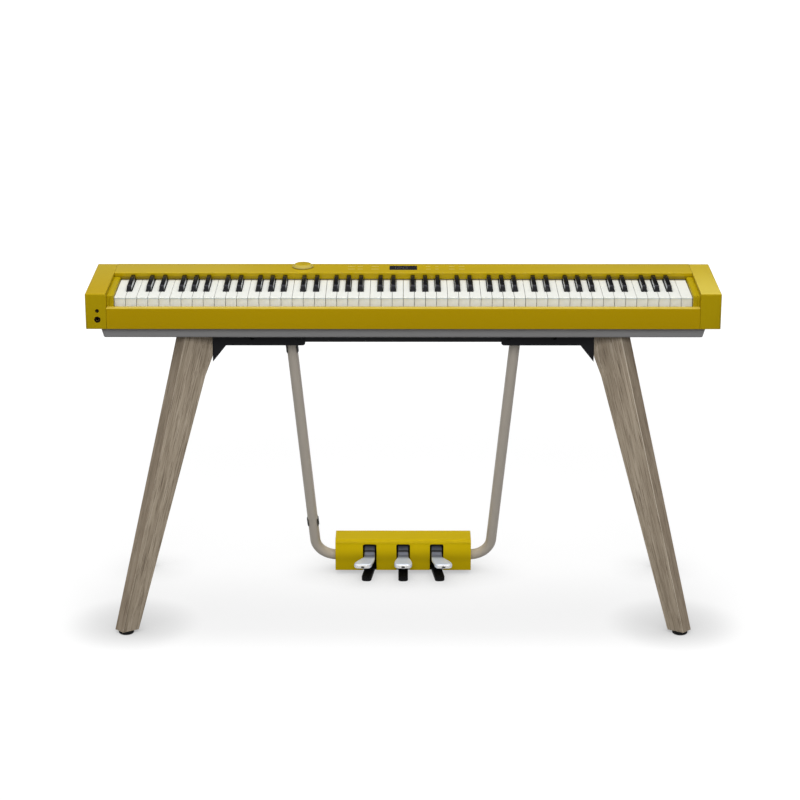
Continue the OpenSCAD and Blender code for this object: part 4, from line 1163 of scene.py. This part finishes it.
# %% Hubs, rivets and three pedals
HUB_R = 0.008
# Place of each circle along the hub, as a share of its half length, and its chamfer
HUB_ENDS = ((-1, 0.0008), (-0.93, 0), (0.93, 0), (1, 0.0008))
RIVET_HALF_X = 0.0042
RIVET_HALF_Z = 0.0019
RIVET_UP = 0.0042
RIVET_PROUD = 0.0001
# Depth of each oval of the rivet's head, and its size
RIVET_OVALS = ((0.002, 1), (0, 1), (-0.0002, 0.85))


def hub(centre_x):
    return loft([
        [(centre_x + place * NECK_HALF, SHAFT_Y + (HUB_R - cut) * c, SHAFT_Z + (HUB_R - cut) * s)
         for c, s in circle(32)]
        for place, cut in HUB_ENDS
    ])


def rivet_head(centre_x):
    y = TIP_Y - RIVET_PROUD
    z = TIP_Z + RIVET_UP
    return loft([
        [(centre_x + RIVET_HALF_X * size * c, y + depth, z + RIVET_HALF_Z * size * s)
         for c, s in circle(20)]
        for depth, size in RIVET_OVALS
    ])


for name, side in (("pedal_left", -1), ("pedal_middle", 0), ("pedal_right", 1)):
    lo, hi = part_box(name)
    centre = (hi.x - NECK_HALF, 0, lo.x + NECK_HALF)[side + 1]
    shape = pedal_shape(side, centre)
    join(shape, hub(centre))
    mesh = mesh_of(name + "_plated", shape)
    smooth(mesh, 50)
    stand_for(new_piece(name + "_plated", mesh, pedal_metal), name)
    rivet = mesh_of(name + "_rivet", rivet_head(centre + side * sweep(0)))
    smooth(rivet, 60)
    piece = new_piece(name + "_rivet", rivet, black_plastic)
    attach(piece, body_of[name])
    print(name, "centre", round(centre, 4), len(mesh.polygons), "faces")

# %% [markdown]
# ## Geometry Nodes for what repeats
#
# Screws, springs and printed marks are the same shape many times over. A Geometry Nodes
# tree states such a shape once, with its sizes as named inputs, and places it on points.
# The frame's own mesh says where the screws and springs go, and a table lists the marks.
# Each tree ends by turning its instances into real faces, because an exported model can't
# hold instances.

# %% A tree while it is made
class Grower:
    def __init__(self, name, *sizes):
        self.tree = bpy.data.node_groups.new(name, "GeometryNodeTree")
        self.socket("Geometry", "Geometry")
        self.socket("Geometry", "Geometry", "OUTPUT")
        self.identifiers = {label: self.socket(label, "Float") for label in sizes}
        self.identifiers["Finish"] = self.socket("Finish", "Material")
        self.start = self.tree.nodes.new("NodeGroupInput")
        self.end = self.tree.nodes.new("NodeGroupOutput")

    def socket(self, label, kind, in_out="INPUT"):
        """Adds a named input or output to the tree, and gives its identifier."""
        socket_type = "NodeSocket" + kind
        return self.tree.interface.new_socket(name=label, in_out=in_out, socket_type=socket_type).identifier

    def value(self, label):
        """The wire of one of the tree's named inputs."""
        return Wire(self.tree, self.start.outputs[label])

    def add(self, kind, settings=None, inputs=None, out=0):
        return add_node(self.tree, kind, settings, inputs, out)

    def vector(self, **axes):
        return self.add("ShaderNodeCombineXYZ", None, axes)

    def cylinder(self, sides, radius, depth):
        values = {"Vertices": sides, "Radius": radius, "Depth": depth}
        return self.add("GeometryNodeMeshCylinder", {"fill_type": "NGON"}, values)

    def move(self, geometry, **placing):
        return self.add("GeometryNodeTransform", None, {"Geometry": geometry, **placing})

    def join(self, parts):
        return self.add("GeometryNodeJoinGeometry", None, {"Geometry": parts})

    def union(self, solids):
        return self.add("GeometryNodeMeshBoolean", {"operation": "UNION"}, {"Mesh 2": solids})

    def aim(self):
        """Turns each instance's Z axis to the aim of its point."""
        aim = self.add("GeometryNodeInputNamedAttribute", {"data_type": "FLOAT_VECTOR"}, {"Name": "aim"})
        return {"Rotation": self.add("FunctionNodeAlignRotationToVector", {"axis": "Z"}, {"Vector": aim})}

    def finish(self, shape, aimed=True):
        """Places the shape on every point, then makes real faces with one material."""
        placed = {"Points": self.value("Geometry"), "Instance": shape, **(self.aim() if aimed else {})}
        placed = self.add("GeometryNodeInstanceOnPoints", None, placed)
        real = self.add("GeometryNodeRealizeInstances", None, {"Geometry": placed})
        painted = {"Geometry": real, "Material": self.value("Finish")}
        painted = self.add("GeometryNodeSetMaterial", None, painted)
        self.tree.links.new(painted.socket, self.end.inputs["Geometry"])
        return self


def grow(name, grower, points, values, aims=None):
    """Runs a tree on a set of points and keeps the result as a plain mesh."""
    mesh = bpy.data.meshes.new(name)
    mesh.from_pydata(points, [], [])
    if aims:
        aim = mesh.attributes.new("aim", "FLOAT_VECTOR", "POINT")
        aim.data.foreach_set("vector", [c for a in aims for c in a])
    piece = new_piece(name, mesh)
    modifier = piece.modifiers.new("grow", "NODES")
    modifier.node_group = grower.tree
    for label, value in values.items():
        modifier[grower.identifiers[label]] = value
    bake_modifiers(piece)
    smooth(piece.data, 35)
    return piece


print("tree helper ready")

# %% [markdown]
# A machine screw is a turned head with a chamfer, a hexagonal socket cut into it, and a
# shank. The socket is a real cut, made with a Mesh Boolean before the screw is repeated.

# %% Shape of a screw
HEAD_SIDES = 28
SHANK_SIDES = 20
HEAD_CHAMFER = 0.16


def screw_tree():
    """The seat of the head is at the origin, and the shank points along +Z."""
    tree = Grower(
        "machine_screw",
        "Head Radius", "Head Height", "Shank Radius", "Shank Length", "Key Radius", "Key Depth")
    radius = tree.value("Head Radius")
    height = tree.value("Head Height")
    length = tree.value("Shank Length")
    chamfer = height * HEAD_CHAMFER
    straight = height - chamfer
    body = tree.cylinder(HEAD_SIDES, radius, straight)
    body = tree.move(body, Translation=tree.vector(Z=straight * -0.5))
    cap = tree.add("GeometryNodeMeshCone", {"fill_type": "NGON"}, {
        "Vertices": HEAD_SIDES, "Radius Bottom": radius, "Radius Top": radius - chamfer,
        "Depth": chamfer})
    cap = tree.move(cap, Translation=tree.vector(Z=straight * -1.0), Rotation=tree.vector(X=math.pi))
    key = tree.cylinder(6, tree.value("Key Radius"), tree.value("Key Depth") * 2)
    key = tree.move(key, Translation=tree.vector(Z=height * -1.0))
    cut = {"Mesh 1": tree.union([body, cap]), "Mesh 2": key}
    head = tree.add("GeometryNodeMeshBoolean", {"operation": "DIFFERENCE"}, cut)
    shank = tree.cylinder(SHANK_SIDES, tree.value("Shank Radius"), length)
    shank = tree.move(shank, Translation=tree.vector(Z=length * 0.5))
    return tree.finish(tree.join([head, shank]))


machine_screw = screw_tree()
print("screw tree has", len(machine_screw.tree.nodes), "nodes")

# %% Screws
# Head radius and height, shank radius, and radius and depth of the hexagonal socket
BIG_SCREW = (0.006, 0.004, 0.003, 0.0029, 0.0024)
SMALL_SCREW = (0.0034, 0.002, 0.0015, 0.0016, 0.0012)


def separate_solids(name):
    """The lowest and highest corner of each loose solid of a part."""
    shape = bmesh.new()
    shape.from_mesh(weld(name))
    boxes = []
    left = set(shape.verts)
    while left:
        found = [left.pop()]
        for vert in found:
            for edge in vert.link_edges:
                other = edge.other_vert(vert)
                if other in left:
                    left.remove(other)
                    found.append(other)
        points = np.array([v.co for v in found])
        boxes.append((Vector(points.min(0)), Vector(points.max(0))))
    shape.free()
    return boxes


def screws(name, part, sizes, boxes, axis):
    """Screws at the solids of a part: axis is the way in which each one is driven."""
    head_r, head_h, shank_r, key_r, key_d = sizes
    seats = []
    aims = []
    for lo, hi in boxes:
        middle = (lo + hi) / 2
        aim = Vector((0, 0, 1)) if axis == "Z" else Vector((math.copysign(1, middle.x), 0, 0))
        length = max(hi - lo)
        seats.append(middle - aim * (length / 2 - head_h))
        aims.append(aim)
    piece = grow(name, machine_screw, seats, {
        "Head Radius": head_r, "Head Height": head_h, "Shank Radius": shank_r,
        "Shank Length": length - head_h, "Key Radius": key_r, "Key Depth": key_d,
        "Finish": black_steel,
    }, aims)
    stand_for(piece, part)
    print(name, len(seats), "screws,", len(piece.data.polygons), "faces")


def longest(box):
    return round(max(box[1] - box[0]), 4)


def head_fits(box, sizes):
    """Whether a solid is about as wide as the head of a screw of these sizes."""
    return abs(box[1].x - box[0].x - 2 * sizes[0]) < 0.001


screws("case_screw_set", "case_screws", SMALL_SCREW, separate_solids("case_screws"), "Z")
screws("leg_bolt_set", "leg_bolts", BIG_SCREW, separate_solids("leg_bolts"), "X")
mount_boxes = separate_solids("mounting_screws")
for number, length in enumerate(sorted({longest(box) for box in mount_boxes})):
    same = [box for box in mount_boxes if longest(box) == length]
    sizes = BIG_SCREW if head_fits(same[0], BIG_SCREW) else SMALL_SCREW
    screws("mounting_screw_set_" + str(number), "mounting_screws", sizes, same, "Z")

# %% [markdown]
# The walls of the brackets are notched so that a key reaches the frame screws. A black
# rubber flap behind each notch stands in for the shade inside the case, so that the notch
# shows dark and not the light through the far wall.

# %% Flaps behind the notches
BRACKET_STEEL = 0.0025
FLAP_HALF = 0.0075
FLAP_DROP = 0.0185
FLAP_GAP = 0.0002
FLAP_UPPER_CORNER = 0.001
FLAP_LOWER_CORNER = 0.004
# Depth of each section behind the wall, and how far it is drawn in
FLAP_SECTIONS = ((0.0001, 0.0003), (0.0004, 0), (0.0012, 0), (0.0015, 0.0003))
bracket_lo, bracket_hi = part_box("bracket_left")
notch_x = max(abs(lo.x + hi.x) / 2 for lo, hi in mount_boxes if head_fits((lo, hi), BIG_SCREW))


def flap(centre_x, wall_y, side):
    """One flap behind a wall: side is 1 when the inside lies towards +Y."""
    high = bracket_hi.z - BRACKET_STEEL - FLAP_GAP
    sections = []
    for depth, inset in FLAP_SECTIONS:
        y = wall_y + side * (BRACKET_STEEL + depth)
        low = bracket_hi.z - FLAP_DROP + inset
        half = FLAP_HALF - inset
        sections.append(round_section(centre_x, y, low, high, half, FLAP_UPPER_CORNER, FLAP_LOWER_CORNER))
    return loft(sections)


# A dark sheet behind each notch stands for the shade inside the case
flaps = bmesh.new()
for centre_x in (-notch_x, notch_x):
    for wall_y, side in ((bracket_lo.y, 1), (-bracket_lo.y, -1)):
        join(flaps, flap(centre_x, wall_y, side))
mesh = mesh_of("notch_shade_flaps", flaps)
smooth(mesh, 50)
piece = new_piece("notch_shade_flaps", mesh, foot_rubber)
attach(piece, "instrument")
print("notch flaps at x =", round(notch_x, 4), "with", len(mesh.polygons), "faces")

# %% [markdown]
# Each pedal is pushed back up by a torsion spring wound round the shaft. It is a helix
# with two straight arms, swept by a small circle. The frame's stand-in says how wide the
# coils are, and a spiral curve does the rest.

# %% Springs
WIRE_R = 0.0011
COILS = 6
ARM = 0.006


def spring_tree():
    tree = Grower("torsion_spring", "Coils", "Radius", "Length", "Wire", "Arm")
    radius = tree.value("Radius")
    length = tree.value("Length")
    helix = tree.add("GeometryNodeCurveSpiral", None, {
        "Resolution": 20, "Rotations": tree.value("Coils"), "Start Radius": radius,
        "End Radius": radius, "Height": length})
    path = [helix]
    for direction, lift in ((1, 0), (-1, 1)):
        start = tree.vector(X=radius, Z=length * lift)
        stop = tree.vector(X=radius, Y=tree.value("Arm") * direction, Z=length * lift)
        path.append(tree.add("GeometryNodeCurvePrimitiveLine", None, {"Start": start, "End": stop}))
    section = {"Resolution": 8, "Radius": tree.value("Wire")}
    section = tree.add("GeometryNodeCurvePrimitiveCircle", None, section)
    wound = {"Curve": tree.join(path), "Profile Curve": section, "Fill Caps": True}
    return tree.finish(tree.add("GeometryNodeCurveToMesh", None, wound))


# The coils of a stand-in touch, so each solid is a whole spring and not one coil. Every
# sixth of them is the first one alone, so this makes one spring, from that solid's middle
solids = sorted(separate_solids("pedal_springs"), key=lambda box: box[0].x)
starts = [(lo + hi) / 2 for lo, hi in solids[::COILS]]
spring_r = (solids[0][1].z - solids[0][0].z) / 2 - WIRE_R
springs = grow("pedal_spring_set", spring_tree(), starts, {
    "Coils": COILS - 1.0, "Radius": spring_r, "Length": (COILS - 1) * 2 * WIRE_R, "Wire": WIRE_R,
    "Arm": ARM, "Finish": bright_steel,
}, [Vector((1, 0, 0))] * len(starts))
stand_for(springs, "pedal_springs")
print(len(starts), "of", len(solids), "springs,", len(springs.data.polygons), "faces")

# %% [markdown]
# ## Panel marks and display
#
# The panel has no buttons. Touch points are marked by small printed dashes, left and right
# of the display. A print has hardly any height, so each mark is a thin slab with
# its top just above the paint.

# %% Touch marks
MARK_SINK = 0.0002
MARK_RISE = 0.00006
MARK_WIDTH = 0.0026
# Every mark is printed on two lines, behind and in front of the display's middle
MARK_LINES = (0.011, -0.011)
# Length of each kind of mark, and its places across the panel
MARKS = (
    (0.0169, (-0.1127,)), (0.0130, (-0.0935,)), (0.0178, (-0.0610,)),
    (0.0087, (0.0738,)), (0.0120, (0.0550,)), (0.0140, (0.1060, 0.1280)),
)
display_lo, display_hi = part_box("display_window")
DISPLAY_Y = (display_lo.y + display_hi.y) / 2
# The flat of the panel is level with the end blocks
PANEL_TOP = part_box("end_block_left")[1].z
MARK_Z = PANEL_TOP - MARK_SINK / 2 + MARK_RISE / 2


def mark_tree():
    """A bar with round ends."""
    tree = Grower("touch_mark", "Length", "Width", "Thickness")
    width = tree.value("Width")
    thickness = tree.value("Thickness")
    straight = tree.value("Length") - width
    bar = {"Size": tree.vector(X=straight, Y=width, Z=thickness)}
    parts = [tree.add("GeometryNodeMeshCube", None, bar)]
    for side in (0.5, -0.5):
        end = tree.cylinder(16, width * 0.5, thickness)
        parts.append(tree.move(end, Translation=tree.vector(X=straight * side)))
    return tree.finish(tree.union(parts), aimed=False)


touch_mark = mark_tree()
for number, (length, places) in enumerate(MARKS):
    points = [(x, DISPLAY_Y + back, MARK_Z) for x in places for back in MARK_LINES]
    row = grow("touch_marks_" + str(number + 1), touch_mark, points, {
        "Length": length, "Width": MARK_WIDTH, "Thickness": MARK_SINK + MARK_RISE,
        "Finish": touch_print,
    })
    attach(row, "instrument")
print(len(MARKS), "kinds of touch mark")

# %% [markdown]
# The display shows three digits of seven lit segments behind dark glass. A segment is a
# bar with pointed ends, and a digit is the list of bars that are lit.

# %% Digits
DIGIT_W = 0.0085
DIGIT_H = 0.016
DIGIT_PITCH = 0.0125
FIRST_DIGIT_X = -0.021
BAR_W = 0.0017
# Share of a bar's width by which each end stops short, so that bars don't touch
BAR_SHORT = 0.35
# Segments of each digit: a on top, then b to f clockwise, and g across the middle
LIT = {0: "abcdef", 1: "bc", 2: "abged"}
SEGMENT = {
    "a": (0, 1, 0), "b": (0.5, 0.5, 1), "c": (0.5, -0.5, 1), "d": (0, -1, 0),
    "e": (-0.5, -0.5, 1), "f": (-0.5, 0.5, 1), "g": (0, 0, 0),
}


def add_bar(shape, middle, half, upright):
    """A flat bar with pointed ends, across or upright, with its faces upwards."""
    side = BAR_W / 2
    tip = half - side
    outline = [(-half, 0), (-tip, -side), (tip, -side), (half, 0), (tip, side), (-tip, side)]
    if upright:
        outline = [(-y, x) for x, y in outline]
    corners = [shape.verts.new((middle[0] + x, middle[1] + y, middle[2])) for x, y in outline]
    face = shape.faces.new(corners)
    raised = bmesh.ops.extrude_face_region(shape, geom=[face])
    moved = [v for v in raised["geom"] if isinstance(v, bmesh.types.BMVert)]
    bmesh.ops.translate(shape, verts=moved, vec=(0, 0, MARK_RISE))


def add_digit(shape, value, centre_x, base_z):
    for name in LIT[value]:
        x, y, upright = SEGMENT[name]
        middle = (centre_x + x * DIGIT_W, DISPLAY_Y + y * DIGIT_H / 2, base_z)
        half = (DIGIT_H / 2 if upright else DIGIT_W) / 2 - BAR_W * BAR_SHORT
        add_bar(shape, middle, half, upright)


shape = bmesh.new()
for place, value in enumerate((1, 2, 0)):
    add_digit(shape, value, FIRST_DIGIT_X + place * DIGIT_PITCH, display_hi.z)
bmesh.ops.recalc_face_normals(shape, faces=shape.faces)
digits = new_piece("display_digits", mesh_of("display_digits", shape), display_segments)
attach(digits, "instrument")
print("digits", len(digits.data.polygons), "faces")

# %% [markdown]
# ## Sockets
#
# A jack socket has a raised collar round its mouth, and a brass contact sleeve inside the
# bore that catches the light. Both are turned shapes, so one function spins a profile
# round the Y axis. The bores in the frame give the places.

# %% Collars and contact sleeves
TURN_STEPS = 36
BIG_BORE_R = 0.00325
SMALL_BORE_R = 0.0018
# A socket with a face wider than this radius is the larger one
BIG_FACE_R = 0.005
FACE_BORDER = 0.0012
COLLAR_GAP = 0.0002
COLLAR_BORDER = 0.0006
COLLAR_DEPTHS = (0.0001, 0.001)
SLEEVE_WALL = 0.0004
SLEEVE_BITE = 0.00005
SLEEVE_DEPTHS = (0.002, 0.009)


def turned(name, profile, centre, finish):
    """Spins a closed profile of (radius, depth) points round the Y axis at a centre."""
    shape = bmesh.new()
    verts = [
        [shape.verts.new((centre[0] + r * c, centre[1] + d, centre[2] + r * s)) for r, d in profile]
        for c, s in circle(TURN_STEPS)
    ]
    for i, here in enumerate(verts):
        there = verts[(i + 1) % TURN_STEPS]
        for j in range(len(profile)):
            k = (j + 1) % len(profile)
            shape.faces.new((here[j], here[k], there[k], there[j]))
    bmesh.ops.recalc_face_normals(shape, faces=shape.faces)
    mesh = mesh_of(name, shape)
    smooth(mesh)
    return new_piece(name, mesh, finish)


def collar(inner, outer, face, deep):
    """Profile of a collar: a flat ring with a round outer edge."""
    edge = (outer - inner) * 0.3
    return [(inner, deep), (inner, face + edge * 0.5), (inner + edge * 0.5, face),
            (outer - edge, face), (outer, face + edge), (outer, deep)]


FRONT_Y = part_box("front_rail")[0].y
jacks = sorted(separate_solids("headphone_sockets"), key=lambda box: box[0].z)
for number, (lo, hi) in enumerate(jacks):
    centre = ((lo.x + hi.x) / 2, FRONT_Y, (lo.z + hi.z) / 2)
    face_r = (hi.x - lo.x) / 2 - FACE_BORDER
    bore_r = BIG_BORE_R if face_r > BIG_FACE_R else SMALL_BORE_R
    rim = collar(bore_r + COLLAR_GAP, face_r - COLLAR_BORDER, *COLLAR_DEPTHS)
    tube = collar(bore_r - SLEEVE_WALL, bore_r + SLEEVE_BITE, *SLEEVE_DEPTHS)
    ring = turned("headphone_collar_" + str(number + 1), rim, centre, socket_black)
    sleeve = turned("headphone_sleeve_" + str(number + 1), tube, centre, brass)
    for piece in (ring, sleeve):
        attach(piece, "instrument")
        print(piece.name, "at", [round(v, 4) for v in centre])
